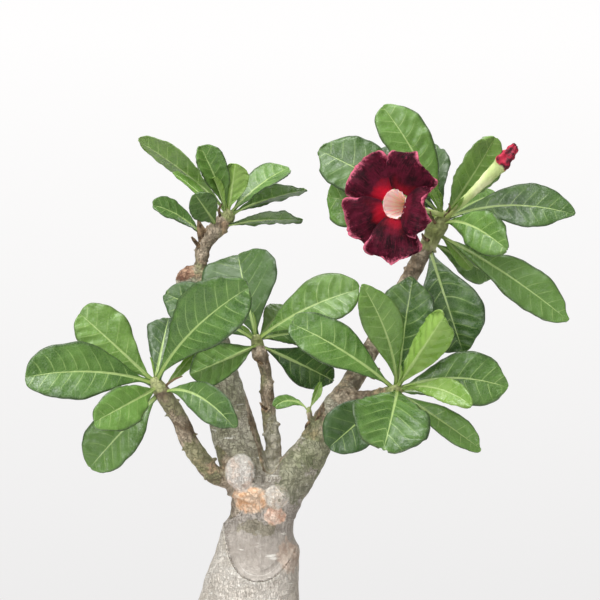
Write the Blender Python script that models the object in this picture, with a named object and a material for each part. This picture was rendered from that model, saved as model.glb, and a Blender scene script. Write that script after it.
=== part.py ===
"""A grafted desert rose (adenium) in a plain round clay pot.

Metres, +Z up, the front of the plant faces -Y. The origin is the centre of the pot's flat foot.
The woody plant is two solids that meet at the graft: a swollen rootstock, half of it in the soil, and the
grafted top with its limbs. Leaves, the flower and the spent bud are separate thin solids around the limb tips.
"""

import math
from collections import namedtuple

import bmesh
import bpy
from mathutils import Matrix, Vector

# Driving dimensions
GAP = 0.0003  # clearance between pieces that touch
POT_HEIGHT = 0.125
POT_RIM_RADIUS = 0.098
POT_FOOT_RADIUS = 0.070
POT_WALL = 0.007
POT_FLOOR = 0.009
RIM_BAND_HEIGHT = 0.024
RIM_BAND_PROUD = 0.005
POT_SIDES = 40
DRAIN_HOLES = 4
DRAIN_RADIUS = 0.005
DRAIN_CIRCLE_RADIUS = 0.036
SOIL_TOP = 0.109

TRUNK_DEPTH_SHARE = 0.92  # the trunk is a little thinner front to back than side to side
TRUNK_SIDES = 18
LIMB_SIDES = 10
TWIG_SIDES = 6
RING_SPACING = 0.013

GRAFT_X = 0.010  # the graft's notch is a parabola seen from the front, cut straight through front to back
GRAFT_LOWEST_Z = 0.182
GRAFT_CURVE = 36.0
GRAFT_HALF_WIDTH = 0.036
GRAFT_STEPS = 14
CUTTER_REACH = 0.4

BLADE_STATIONS = (0.0, 0.08, 0.20, 0.34, 0.48, 0.62, 0.76, 0.88, 0.96)
LEAF_RISE_POWER = 1.5
LEAF_THICKNESS = 0.0012
PETAL_THICKNESS = 0.0010
PETIOLE_WIDTH = 0.0030
STEM_CLEARANCE = 0.0020

FRONT = Vector((0, -1, 0))

# Limbs: points (x, y, z, radius) along each one's middle
TRUNK = [
    (0.000, 0.000, 0.030, 0.014),
    (0.000, 0.000, 0.050, 0.036),
    (0.000, 0.000, 0.080, 0.050),
    (0.000, 0.000, 0.105, 0.054),
    (0.000, 0.000, 0.122, 0.0495),
    (0.001, 0.000, 0.142, 0.043),
    (0.0035, 0.000, 0.170, 0.035),
    (0.0066, 0.000, 0.198, 0.0298),
    (0.0092, 0.000, 0.218, 0.0268),
    (0.0135, 0.000, 0.236, 0.0275),
    (0.0140, 0.000, 0.248, 0.0240),
]
LIMBS = {
    "limb_left": [
        (0.0080, 0.000, 0.236, 0.0165),
        (0.0000, 0.002, 0.255, 0.0172),
        (-0.0055, 0.004, 0.275, 0.0160),
        (-0.0155, 0.008, 0.310, 0.0150),
        (-0.0210, 0.012, 0.330, 0.0142),
        (-0.0290, 0.017, 0.359, 0.0130),
        (-0.0360, 0.021, 0.383, 0.0110),
        (-0.0380, 0.022, 0.391, 0.0080),
    ],
    "limb_right": [
        (0.0210, 0.000, 0.236, 0.0185),
        (0.0340, -0.001, 0.254, 0.0148),
        (0.0450, -0.003, 0.270, 0.0126),
        (0.0550, -0.004, 0.287, 0.0114),
        (0.0645, -0.005, 0.302, 0.0106),
        (0.0715, -0.005, 0.313, 0.0092),
    ],
}
TWIGS = {
    "twig_upper_left": [
        (-0.0330, 0.022, 0.384, 0.0055),
        (-0.0322, 0.022, 0.402, 0.0040),
        (-0.0305, 0.023, 0.414, 0.0055),
        (-0.0210, 0.024, 0.427, 0.0060),
        (-0.0135, 0.025, 0.435, 0.0050),
    ],
    "twig_lower_left": [
        (-0.0080, -0.003, 0.250, 0.0075),
        (-0.0220, -0.008, 0.255, 0.0068),
        (-0.0320, -0.012, 0.267, 0.0065),
        (-0.0395, -0.016, 0.279, 0.0063),
        (-0.0450, -0.020, 0.293, 0.0061),
        (-0.0535, -0.025, 0.307, 0.0060),
        (-0.0605, -0.028, 0.317, 0.0052),
    ],
    "twig_middle": [
        (0.0180, 0.006, 0.243, 0.0065),
        (0.0192, 0.006, 0.262, 0.0058),
        (0.0192, 0.005, 0.275, 0.0053),
        (0.0168, 0.003, 0.292, 0.0052),
        (0.0152, 0.001, 0.310, 0.0050),
        (0.0135, 0.000, 0.328, 0.0045),
        (0.0085, 0.000, 0.345, 0.0042),
    ],
    "twig_upper_right": [
        (0.0690, -0.003, 0.310, 0.0080),
        (0.0790, 0.001, 0.327, 0.0068),
        (0.0885, 0.004, 0.343, 0.0062),
        (0.1030, 0.008, 0.369, 0.0058),
        (0.1140, 0.010, 0.390, 0.0058),
        (0.1230, 0.011, 0.407, 0.0060),
        (0.1310, 0.011, 0.421, 0.0064),
        (0.1365, 0.010, 0.430, 0.0058),
    ],
    "twig_lower_right": [
        (0.0680, -0.006, 0.308, 0.0070),
        (0.0800, -0.012, 0.308, 0.0058),
        (0.0930, -0.020, 0.310, 0.0052),
        (0.1020, -0.027, 0.313, 0.0050),
    ],
    "twig_side": [
        (0.0530, -0.007, 0.287, 0.0030),
        (0.0465, -0.010, 0.292, 0.0024),
        (0.0450, -0.010, 0.298, 0.0018),
    ],
}

# A rosette of leaves stands on each limb tip. "tip" is the growing point and "axis" the way the stem grows.
Rosette = namedtuple("Rosette", "tip axis stem_radius")
ROSETTES = {
    "upper_left": Rosette((-0.0120, 0.025, 0.438), (0.62, 0.10, 0.78), 0.0052),
    "lower_left": Rosette((-0.0625, -0.029, 0.320), (-0.50, -0.25, 0.82), 0.0054),
    "middle": Rosette((0.0077, 0.000, 0.349), (-0.25, 0.00, 0.97), 0.0044),
    "lower_right": Rosette((0.1055, -0.030, 0.3155), (0.60, -0.70, 0.38), 0.0050),
    "upper_right": Rosette((0.1395, 0.009, 0.435), (0.50, -0.10, 0.86), 0.0062),
    "side": Rosette((0.0442, -0.010, 0.3000), (-0.20, 0.00, 0.97), 0.0018),
}

# turn: direction seen from the front, degrees anticlockwise from +X.  lean: degrees towards the front.
# length, width: of the blade with its stalk.  roll: degrees about the midrib, 0 shows the upper face to the front.
# arch, sway: how far the midrib bows towards the upper face, and sideways.  fold: degrees each half lifts.
# drop: how far below the growing point the leaf stands.
Leaf = namedtuple(
    "Leaf",
    "name rosette turn lean length width roll arch sway fold drop",
    defaults=(0, 0.004, 0.0, 8, 0.0),
)
LEAVES = [
    Leaf("leaf_upper_left_1", "upper_left", 141, -10, 0.078, 0.028, 128, 0.004),
    Leaf("leaf_upper_left_2", "upper_left", 113, 14, 0.048, 0.032, 28, 0.002, 0.000, 32),
    Leaf("leaf_upper_left_3", "upper_left", 20, 16, 0.056, 0.025, -118, 0.003),
    Leaf("leaf_upper_left_4", "upper_left", 40, -18, 0.056, 0.030, -45, 0.004),
    Leaf("leaf_upper_left_5", "upper_left", 78, 12, 0.034, 0.021, 158, 0.000, 0.000, 24),
    Leaf("leaf_upper_left_6", "upper_left", 148, 20, 0.041, 0.020, 60, 0.002, -0.003, 14, 0.019),
    Leaf("leaf_upper_left_7", "upper_left", 122, 45, 0.032, 0.021, 8, 0.002, 0.000, 12, 0.009),
    Leaf("leaf_upper_left_8", "upper_left", 7, 10, 0.056, 0.022, -122, 0.003, 0.000, 8, 0.011),
    Leaf("leaf_lower_left_1", "lower_left", 175, 20, 0.090, 0.044, 20, 0.006, -0.0045),
    Leaf("leaf_lower_left_2", "lower_left", 132, 4, 0.069, 0.034, 10, 0.004),
    Leaf("leaf_lower_left_3", "lower_left", 46, 26, 0.096, 0.040, -15, 0.006, 0.005),
    Leaf("leaf_lower_left_4", "lower_left", 213, 50, 0.064, 0.038, 0, 0.008, 0.000, 8, 0.004),
    Leaf("leaf_lower_left_5", "lower_left", 228, 8, 0.064, 0.040, 12, 0.004, 0.000, 8, 0.009),
    Leaf("leaf_lower_left_6", "lower_left", -32, 30, 0.062, 0.032, -18, 0.007, 0.008, 8, 0.008),
    Leaf("leaf_lower_left_7", "lower_left", 88, -38, 0.052, 0.028, 0, 0.004),
    Leaf("leaf_lower_left_8", "lower_left", 68, 10, 0.026, 0.009, 20, 0.001, 0.000, 40),
    Leaf("leaf_middle_1", "middle", 103, -18, 0.064, 0.052, -4, 0.007),
    Leaf("leaf_middle_2", "middle", 27, 12, 0.075, 0.036, -20, 0.004, 0.003),
    Leaf("leaf_middle_3", "middle", 204, 36, 0.054, 0.034, 5, 0.005, 0.000, 8, 0.004),
    Leaf("leaf_middle_4", "middle", -31, -14, 0.048, 0.034, 0, 0.004, 0.000, 8, 0.005),
    Leaf("leaf_middle_5", "middle", 5, -32, 0.052, 0.026, -20, 0.004),
    Leaf("leaf_middle_6", "middle", 151, -1, 0.068, 0.034, 20, 0.004),
    Leaf("leaf_middle_7", "middle", 54, -44, 0.038, 0.018, 0, 0.002),
    Leaf("leaf_lower_right_1", "lower_right", 148, 4, 0.081, 0.036, 14, 0.005, -0.002, 8, 0.003),
    Leaf("leaf_lower_right_2", "lower_right", 108, 26, 0.078, 0.027, 14, 0.004, -0.004),
    Leaf("leaf_lower_right_3", "lower_right", 82, 3, 0.078, 0.038, -10, 0.005),
    Leaf("leaf_lower_right_4", "lower_right", 57, 34, 0.068, 0.026, 160, 0.000, 0.000, 26),
    Leaf("leaf_lower_right_5", "lower_right", 5, 8, 0.076, 0.038, -20, 0.005, 0.006),
    Leaf("leaf_lower_right_6", "lower_right", -9, 38, 0.060, 0.018, -40, 0.004, 0.005),
    Leaf("leaf_lower_right_7", "lower_right", -8, -34, 0.042, 0.022, -66, 0.003, 0.000, 8, 0.006),
    Leaf("leaf_lower_right_8", "lower_right", 264, 56, 0.064, 0.050, 0, 0.008),
    Leaf("leaf_lower_right_9", "lower_right", -33, 14, 0.067, 0.027, -18, 0.003, 0.000, 8, 0.003),
    Leaf("leaf_lower_right_10", "lower_right", 217, 18, 0.055, 0.037, 0, 0.003, 0.000, 8, 0.006),
    Leaf("leaf_upper_right_1", "upper_right", 117, 4, 0.083, 0.035, 5, 0.005, -0.003),
    Leaf("leaf_upper_right_2", "upper_right", 97, -32, 0.060, 0.027, -24, 0.004),
    Leaf("leaf_upper_right_3", "upper_right", 149, -8, 0.093, 0.038, 20, 0.005, 0.000, 8, 0.003),
    Leaf("leaf_upper_right_4", "upper_right", 138, -30, 0.078, 0.030, 10, 0.005),
    Leaf("leaf_upper_right_5", "upper_right", 172, -16, 0.078, 0.040, 10, 0.005, 0.000, 8, 0.004),
    Leaf("leaf_upper_right_6", "upper_right", 63, 6, 0.066, 0.036, 20, 0.003, 0.000, 14),
    Leaf("leaf_upper_right_7", "upper_right", 3, 12, 0.086, 0.030, -25, 0.005, 0.006),
    Leaf("leaf_upper_right_8", "upper_right", -34, 50, 0.056, 0.033, -8, 0.006, 0.005, 8, 0.004),
    Leaf("leaf_upper_right_9", "upper_right", -34, 8, 0.103, 0.029, -15, 0.004, 0.002, 8, 0.013),
    Leaf("leaf_upper_right_10", "upper_right", -75, 18, 0.077, 0.044, 4, 0.005, 0.000, 8, 0.024),
    Leaf("leaf_upper_right_11", "upper_right", -28, -34, 0.056, 0.024, 0, 0.003, 0.000, 8, 0.020),
    Leaf("leaf_upper_right_12", "upper_right", 28, -34, 0.048, 0.024, -24, 0.003),
    Leaf("leaf_side_1", "side", 172, 12, 0.021, 0.009, 50, 0.001, -0.005),
    Leaf("leaf_side_2", "side", 72, 6, 0.020, 0.008, 20, 0.001, 0.000, 30),
]

# The flower: its face looks along FLOWER_FACING, five lobes stand round the throat of a funnel
FLOWER_CENTRE = Vector((0.1035, -0.044, 0.442))
FLOWER_FACING = Vector((-0.38, -0.90, -0.12)).normalized()
THROAT_RADIUS = 0.0090
TUBE_LENGTH = 0.036
TUBE_WALL = 0.0010
TUBE_SIDES = 14
TUBE_BASE_RADIUS = 0.0024
Petal = namedtuple("Petal", "name turn length width")
PETALS = [
    Petal("petal_right", -14, 0.030, 0.034),
    Petal("petal_upper_right", 58, 0.030, 0.035),
    Petal("petal_upper_left", 132, 0.031, 0.036),
    Petal("petal_lower_left", 206, 0.032, 0.035),
    Petal("petal_bottom", 278, 0.032, 0.035),
]
PETAL_PITCH = -20  # each lobe is turned like a propeller blade, so it lies over the next
PETAL_RISE = 8  # and stands a little forward of flat
PETAL_ARCH = 0.004
PETAL_CLAW = 0.0090
PETAL_RISE_POWER = 0.75
CALYX_RADIUS = 0.0034
CALYX_LENGTH = 0.012
PEDICEL_RADIUS = 0.0018

# The spent bud: points (x, y, z, radius) from its stalk to its twisted tip
SPENT_BUD = [
    (0.1500, -0.003, 0.4430, 0.0016),
    (0.1540, -0.006, 0.4480, 0.0022),
    (0.1610, -0.010, 0.4560, 0.0027),
    (0.1700, -0.014, 0.4660, 0.0038),
    (0.1770, -0.017, 0.4740, 0.0046),
    (0.1820, -0.019, 0.4790, 0.0046),
    (0.1870, -0.020, 0.4850, 0.0016),
]

COLOURS = {  # colour, roughness
    "clay": ((0.55, 0.27, 0.16), 0.85),
    "soil": ((0.10, 0.075, 0.055), 0.95),
    "bark": ((0.42, 0.38, 0.30), 0.85),
    "leaf": ((0.10, 0.24, 0.06), 0.45),
    "petal": ((0.10, 0.005, 0.012), 0.60),
    "throat": ((0.80, 0.42, 0.40), 0.55),
    "calyx": ((0.45, 0.52, 0.20), 0.60),
    "spent_bud": ((0.50, 0.48, 0.22), 0.60),
}


def clear_scene():
    for obj in list(bpy.data.objects):
        bpy.data.objects.remove(obj)


def material(slot):
    found = bpy.data.materials.get(slot)
    if found:
        return found
    made = bpy.data.materials.new(slot)
    made.use_nodes = True
    shader = made.node_tree.nodes["Principled BSDF"]
    colour, roughness = COLOURS[slot]
    shader.inputs["Base Color"].default_value = (*colour, 1)
    shader.inputs["Roughness"].default_value = roughness
    return made


def add_object(name, bm, slot=None, helper=False):
    """Makes an object of the bmesh. A helper only cuts or joins, and is no piece of the plant."""
    bmesh.ops.recalc_face_normals(bm, faces=bm.faces)
    if bm.calc_volume(signed=True) < 0:
        bmesh.ops.reverse_faces(bm, faces=bm.faces)
    mesh = bpy.data.meshes.new(name)
    bm.to_mesh(mesh)
    bm.free()
    mesh.shade_smooth()
    obj = bpy.data.objects.new(name, mesh)
    bpy.context.scene.collection.objects.link(obj)
    if slot:
        mesh.materials.append(material(slot))
    if helper:
        obj.hide_render = True
        obj.display_type = "WIRE"
    return obj


def boolean(obj, other, operation):
    modifier = obj.modifiers.new(operation.lower() + "_" + other.name, "BOOLEAN")
    modifier.operation = operation
    modifier.object = other


def bridge_rings(bm, rings):
    """Joins closed rings of vertices one to the next, and caps both ends."""
    for low, high in zip(rings, rings[1:]):
        count = len(low)
        for i in range(count):
            j = (i + 1) % count
            bm.faces.new((low[i], low[j], high[j], high[i]))
    bm.faces.new(rings[0][::-1])
    bm.faces.new(rings[-1])


def smooth_path(points, spacing):
    """Catmull-Rom points (x, y, z, radius) about `spacing` apart along the given ones."""
    knots = [Vector(p) for p in points]
    knots = [2 * knots[0] - knots[1], *knots, 2 * knots[-1] - knots[-2]]
    found = []
    for a, b, c, d in zip(knots, knots[1:], knots[2:], knots[3:]):
        steps = max(1, round((c - b).length / spacing))
        for i in range(steps):
            t = i / steps
            found.append(
                0.5 * (2 * b + (c - a) * t + (2 * a - 5 * b + 4 * c - d) * t**2
                       + (3 * b - a - 3 * c + d) * t**3)
            )
    return found + [knots[-2]]


def tube(name, points, sides, depth_share=1.0, grow=0.0, spacing=RING_SPACING, slot=None, helper=False):
    """A limb: rings square to its path, `grow` thicker than its points say."""
    path = smooth_path(points, spacing)
    centres = [p.to_3d() for p in path]
    bm = bmesh.new()
    rings = []
    side = Vector((1, 0, 0))
    for i, point in enumerate(path):
        along = (centres[min(i + 1, len(path) - 1)] - centres[max(i - 1, 0)]).normalized()
        side = (side - side.dot(along) * along).normalized()
        depth = along.cross(side)
        radius = point[3] + grow
        ring = []
        for k in range(sides):
            angle = 2 * math.pi * k / sides
            offset = side * math.cos(angle) + depth * math.sin(angle) * depth_share
            ring.append(bm.verts.new(centres[i] + radius * offset))
        rings.append(ring)
    bridge_rings(bm, rings)
    return add_object(name, bm, slot, helper)


def lathe(name, profile, sides, slot, axis=None, centre=None):
    """Turns a closed profile of (radius, height) about an axis. A point on the axis has radius 0."""
    bm = bmesh.new()
    rings = []
    for radius, height in profile:
        if radius == 0:
            rings.append([bm.verts.new((0, 0, height))])
            continue
        ring = []
        for k in range(sides):
            angle = 2 * math.pi * k / sides
            ring.append(bm.verts.new((radius * math.cos(angle), radius * math.sin(angle), height)))
        rings.append(ring)
    for low, high in zip(rings, rings[1:]):
        for k in range(sides):
            j = (k + 1) % sides
            corners = [low[k % len(low)], low[j % len(low)], high[j % len(high)], high[k % len(high)]]
            bm.faces.new(list(dict.fromkeys(corners)))
    obj = add_object(name, bm, slot)
    if axis:
        obj.rotation_euler = axis.to_track_quat("Z", "Y").to_euler()
        obj.location = centre
    return obj


def leaf_frame(turn, lean, roll):
    """(along the midrib, across the blade, out of the upper face) of a leaf, as unit vectors."""
    turn, lean = math.radians(turn), math.radians(lean)
    along = Vector((math.cos(turn) * math.cos(lean), -math.sin(lean), math.sin(turn) * math.cos(lean)))
    face = (FRONT - FRONT.dot(along) * along).normalized()
    face = Matrix.Rotation(math.radians(roll), 3, along) @ face
    return along, face.cross(along), face


def blade_width(t, rise_power, widest=0.66):
    """Half-width of an obovate blade at t from its stalk (0) to its tip (1), as a share of the widest."""
    if t < widest:
        return math.sin(math.pi / 2 * (t / widest) ** rise_power)
    return math.sqrt(max(0.0, 1 - ((t - widest) / (1 - widest)) ** 2.4))


def blade(name, length, width, arch, sway, fold, stalk_width, thickness, slot, rise_power):
    """A leaf or petal along its own +X, upper face +Z: a four-sided section that follows the outline."""
    lift = math.radians(fold)
    bm = bmesh.new()
    rings = []
    for t in BLADE_STATIONS:
        bow = 4 * t * (1 - t)
        middle = Vector((length * t, sway * bow, arch * bow))
        half = max(stalk_width / 2, width / 2 * blade_width(t, rise_power))
        side = Vector((0, half * math.cos(lift), half * math.sin(lift)))
        other = Vector((0, -side.y, side.z))
        up = Vector((0, 0, thickness / 2))
        rings.append([bm.verts.new(middle + p) for p in (side, up, other, -up)])
    bridge_rings(bm, rings)
    end = rings[-1]
    tip = bmesh.ops.poke(bm, faces=[f for f in bm.faces if all(v in end for v in f.verts)])["verts"][0]
    tip.co = Vector((length, 0, 0))
    return add_object(name, bm, slot)


def place(obj, origin, along, across, face):
    obj.matrix_world = Matrix.Translation(origin) @ Matrix((along, across, face)).transposed().to_4x4()


def make_leaf(leaf):
    along, across, face = leaf_frame(leaf.turn, leaf.lean, leaf.roll)
    rosette = ROSETTES[leaf.rosette]
    axis = Vector(rosette.axis).normalized()
    outward = along - along.dot(axis) * axis
    base = Vector(rosette.tip) - axis * leaf.drop + outward * (rosette.stem_radius + STEM_CLEARANCE)
    stalk = min(PETIOLE_WIDTH, leaf.width * 0.2)
    made = blade(leaf.name, leaf.length, leaf.width, leaf.arch, leaf.sway, leaf.fold, stalk,
                 LEAF_THICKNESS, "leaf", LEAF_RISE_POWER)
    place(made, base, along, across, face)


def graft_cutter(name, raise_by):
    """Everything above the graft's notch, as one block that runs through front to back."""
    shoulder = GRAFT_LOWEST_Z + GRAFT_CURVE * GRAFT_HALF_WIDTH**2
    outline = []
    for i in range(GRAFT_STEPS + 1):
        x = GRAFT_HALF_WIDTH * (2 * i / GRAFT_STEPS - 1)
        outline.append((GRAFT_X + x, GRAFT_LOWEST_Z + GRAFT_CURVE * x * x + raise_by))
    outline += [
        (CUTTER_REACH, shoulder + raise_by),
        (CUTTER_REACH, shoulder + CUTTER_REACH),
        (-CUTTER_REACH, shoulder + CUTTER_REACH),
        (-CUTTER_REACH, shoulder + raise_by),
    ]
    bm = bmesh.new()
    front = bm.faces.new([bm.verts.new((x, -CUTTER_REACH, z)) for x, z in outline])
    back = bmesh.ops.extrude_face_region(bm, geom=[front])["geom"]
    moved = [g for g in back if isinstance(g, bmesh.types.BMVert)]
    bmesh.ops.translate(bm, vec=(0, 2 * CUTTER_REACH, 0), verts=moved)
    return add_object(name, bm, helper=True)


def make_pot():
    top_inner = POT_RIM_RADIUS - POT_WALL
    foot_inner = POT_FOOT_RADIUS - POT_WALL
    band_foot = POT_HEIGHT - RIM_BAND_HEIGHT
    slope = (POT_RIM_RADIUS - RIM_BAND_PROUD - POT_FOOT_RADIUS) / band_foot
    profile = [
        (0, 0),
        (POT_FOOT_RADIUS - 0.002, 0),
        (POT_FOOT_RADIUS, 0.002),
        (POT_FOOT_RADIUS + slope * band_foot, band_foot),
        (POT_RIM_RADIUS - 0.001, band_foot),
        (POT_RIM_RADIUS, band_foot + 0.002),
        (POT_RIM_RADIUS, POT_HEIGHT - 0.002),
        (POT_RIM_RADIUS - 0.002, POT_HEIGHT),
        (top_inner + 0.001, POT_HEIGHT),
        (top_inner, POT_HEIGHT - 0.001),
        (foot_inner, POT_FLOOR),
        (0, POT_FLOOR),
    ]
    pot = lathe("pot", profile, POT_SIDES, "clay")
    for k in range(DRAIN_HOLES):
        angle = 2 * math.pi * (k + 0.5) / DRAIN_HOLES
        bm = bmesh.new()
        bmesh.ops.create_cone(bm, cap_ends=True, segments=10, radius1=DRAIN_RADIUS, radius2=DRAIN_RADIUS,
                              depth=4 * POT_FLOOR)
        cutter = add_object(f"drain_cutter_{k}", bm, helper=True)
        cutter.location = (DRAIN_CIRCLE_RADIUS * math.cos(angle), DRAIN_CIRCLE_RADIUS * math.sin(angle), 0)
        boolean(pot, cutter, "DIFFERENCE")


def pot_inside_radius(z):
    """Radius of the pot's inner wall at height z."""
    low, high = POT_FOOT_RADIUS - POT_WALL, POT_RIM_RADIUS - POT_WALL
    return low + (high - low) * (z - POT_FLOOR) / (POT_HEIGHT - 0.001 - POT_FLOOR)


def make_soil():
    bottom = POT_FLOOR + GAP
    profile = [
        (0, bottom),
        (pot_inside_radius(bottom) - 2 * GAP, bottom),
        (pot_inside_radius(SOIL_TOP) - 2 * GAP, SOIL_TOP),
        (0, SOIL_TOP),
    ]
    soil = lathe("soil", profile, POT_SIDES, "soil")
    root_space = tube("root_space", TRUNK, TRUNK_SIDES, TRUNK_DEPTH_SHARE, grow=2 * GAP, helper=True)
    boolean(soil, root_space, "DIFFERENCE")


def make_wood():
    rootstock = tube("rootstock", TRUNK, TRUNK_SIDES, TRUNK_DEPTH_SHARE, slot="bark")
    boolean(rootstock, graft_cutter("graft_notch", 0.0), "DIFFERENCE")
    grafted = tube("grafted_limbs", TRUNK, TRUNK_SIDES, TRUNK_DEPTH_SHARE, slot="bark")
    for name, points in LIMBS.items():
        boolean(grafted, tube(name, points, LIMB_SIDES, helper=True), "UNION")
    for name, points in TWIGS.items():
        boolean(grafted, tube(name, points, TWIG_SIDES, helper=True), "UNION")
    boolean(grafted, graft_cutter("graft_seat", GAP), "INTERSECT")


def make_flower():
    for petal in PETALS:
        radial, _, _ = leaf_frame(petal.turn, 0, 0)
        along = (radial - radial.dot(FLOWER_FACING) * FLOWER_FACING).normalized()
        across = FLOWER_FACING.cross(along)
        base = FLOWER_CENTRE + along * (THROAT_RADIUS + 2 * GAP)
        rise = Matrix.Rotation(-math.radians(PETAL_RISE), 3, across)
        along, face = rise @ along, rise @ FLOWER_FACING
        pitch = Matrix.Rotation(math.radians(PETAL_PITCH), 3, along)
        made = blade(petal.name, petal.length, petal.width, PETAL_ARCH, 0, 4, PETAL_CLAW, PETAL_THICKNESS,
                     "petal", PETAL_RISE_POWER)
        place(made, base, along, pitch @ across, pitch @ face)
    profile = [
        (0, -TUBE_LENGTH),
        (TUBE_BASE_RADIUS, -TUBE_LENGTH),
        (TUBE_BASE_RADIUS * 1.2, -TUBE_LENGTH * 0.72),
        (THROAT_RADIUS * 0.62, -TUBE_LENGTH * 0.46),
        (THROAT_RADIUS * 0.86, -TUBE_LENGTH * 0.2),
        (THROAT_RADIUS, 0.0),
        (THROAT_RADIUS - TUBE_WALL, 0.0),
        (THROAT_RADIUS * 0.86 - TUBE_WALL, -TUBE_LENGTH * 0.2),
        (THROAT_RADIUS * 0.62 - TUBE_WALL, -TUBE_LENGTH * 0.46),
        (0, -TUBE_LENGTH * 0.62),
    ]
    lathe("flower_tube", profile, TUBE_SIDES, "throat", FLOWER_FACING, FLOWER_CENTRE)
    calyx_top = FLOWER_CENTRE - FLOWER_FACING * (TUBE_LENGTH + GAP)
    calyx_foot = calyx_top - FLOWER_FACING * CALYX_LENGTH
    stem = Vector(ROSETTES["upper_right"].tip) + Vector((-0.001, -0.0075, 0.005))
    points = [
        (*calyx_top, CALYX_RADIUS),
        (*calyx_top.lerp(calyx_foot, 0.4), CALYX_RADIUS * 0.9),
        (*calyx_foot, PEDICEL_RADIUS),
        (*calyx_foot.lerp(stem, 0.9), PEDICEL_RADIUS),
    ]
    tube("flower_stalk", points, 8, spacing=0.006, slot="calyx")
    tube("spent_bud", SPENT_BUD, 10, spacing=0.005, slot="spent_bud")


def main():
    clear_scene()
    make_pot()
    make_soil()
    make_wood()
    for leaf in LEAVES:
        make_leaf(leaf)
    make_flower()


main()
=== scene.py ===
"""The looks of a grafted desert rose in a clay pot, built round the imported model.

Metres, with the tables of places in millimetres; +Z up, the front faces -Y. The bark, leaves, flower, spent
bud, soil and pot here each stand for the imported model's plain solid of the same part. The smallest things are
added: withered stubs, bud leaves, grit.
"""

import random
from collections import namedtuple
from functools import reduce
from math import atan2, copysign, cos, dist, exp, hypot, pi, radians, sin, sqrt, tau

import bmesh
import bpy
from mathutils import Matrix, Vector, noise
from mathutils.kdtree import KDTree


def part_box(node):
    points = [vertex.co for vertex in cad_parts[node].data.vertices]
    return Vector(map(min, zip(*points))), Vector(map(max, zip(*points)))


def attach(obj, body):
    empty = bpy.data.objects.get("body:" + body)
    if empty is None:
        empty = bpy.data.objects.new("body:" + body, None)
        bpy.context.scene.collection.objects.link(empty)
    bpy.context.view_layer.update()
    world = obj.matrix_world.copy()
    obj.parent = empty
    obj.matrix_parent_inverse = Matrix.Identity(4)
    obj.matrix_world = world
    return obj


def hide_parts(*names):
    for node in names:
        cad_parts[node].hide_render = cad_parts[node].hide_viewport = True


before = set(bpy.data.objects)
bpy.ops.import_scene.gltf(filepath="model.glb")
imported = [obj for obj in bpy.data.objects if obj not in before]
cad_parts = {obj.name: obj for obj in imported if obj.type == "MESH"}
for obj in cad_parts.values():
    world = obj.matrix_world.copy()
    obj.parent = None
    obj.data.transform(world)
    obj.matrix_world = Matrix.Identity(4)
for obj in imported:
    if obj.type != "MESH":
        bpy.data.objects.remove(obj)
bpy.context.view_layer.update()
SCENE = bpy.context.scene


def metres(value):
    """Millimetres turned to metres, in a number or in rows of them."""
    if isinstance(value, (list, tuple)):
        return type(value)(metres(part) for part in value)
    return round(value / 1000, 7)


def hold(value):
    """The value, held between 0 and 1."""
    return min(1.0, max(0.0, value))


def wave(*place):
    """Smooth noise at a place, from -1 to 1."""
    return noise.noise(Vector(place))


# ---------------------------------------------------------------- the plant's plan, as packed

TRUNK = metres([
    (0, 0, 30, 14), (0, 0, 50, 36), (0, 0, 80, 50), (0, 0, 105, 54), (0, 0, 122, 49.5), (1, 0, 142, 43),
    (3.5, 0, 170, 35), (6.6, 0, 198, 29.8), (7.8, 0, 208, 28.1), (9.2, 0, 218, 27), (11.2, 0, 227, 26.7),
    (13.5, 0, 236, 27.5), (14, 0, 248, 24),
])
LIMBS = {
    "left": metres([
        (8, 0, 236, 16.5), (0, 2, 255, 17.2), (-5.5, 4, 275, 16), (-15.5, 8, 310, 15),
        (-21, 12, 330, 14.2), (-29, 17, 359, 13), (-36, 21, 383, 11), (-38, 22, 391, 8),
    ]),
    "right": metres([
        (21, 0, 236, 18.5), (34, -1, 254, 14.8), (45, -3, 270, 12.6), (55, -4, 287, 11.4),
        (64.5, -5, 302, 10.6), (71.5, -5, 313, 9.2),
    ]),
    "upper_left": metres([
        (-33, 22, 384, 5.5), (-32.2, 22, 402, 4), (-30.5, 23, 414, 5.5), (-21, 24, 427, 6),
        (-13.5, 25, 435, 5.2), (-11, 25, 440, 3.6),
    ]),
    "lower_left": metres([
        (-8, -3, 250, 7.5), (-22, -8, 255, 6.8), (-32, -12, 267, 6.5), (-39.5, -16, 279, 6.3),
        (-45, -20, 293, 6.1), (-53.5, -25, 307, 6), (-60.5, -28, 317, 5.4), (-63.5, -29, 323, 3.6),
    ]),
    "middle": metres([
        (18, 6, 243, 6.5), (19.2, 6, 262, 5.8), (19.2, 5, 275, 5.3), (16.8, 3, 292, 5.2),
        (15.2, 1, 310, 5), (13.5, 0, 328, 4.5), (8.5, 0, 345, 4.8), (7, 0, 352.5, 3.2),
    ]),
    "upper_right": metres([
        (69, -3, 310, 8), (79, 1, 327, 6.8), (88.5, 4, 343, 6.2), (103, 8, 369, 5.8), (114, 10, 390, 5.8),
        (123, 11, 407, 6), (131, 11, 421, 6.4), (136.5, 10, 430, 6.2), (140.5, 9, 438.5, 4.2),
    ]),
    "lower_right": metres([
        (68, -6, 308, 7), (80, -12, 308, 5.8), (93, -20, 310, 5.2), (102, -27, 313, 5.2),
        (107.5, -32, 316.5, 3.6),
    ]),
    "side": metres([
        (53, -7, 287, 3), (46, -10, 292, 2.2), (44.5, -10, 297, 2.3), (44, -10, 302.5, 1.8),
    ]),
}
TRUNK_DEPTH_SHARE = 0.92

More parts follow.
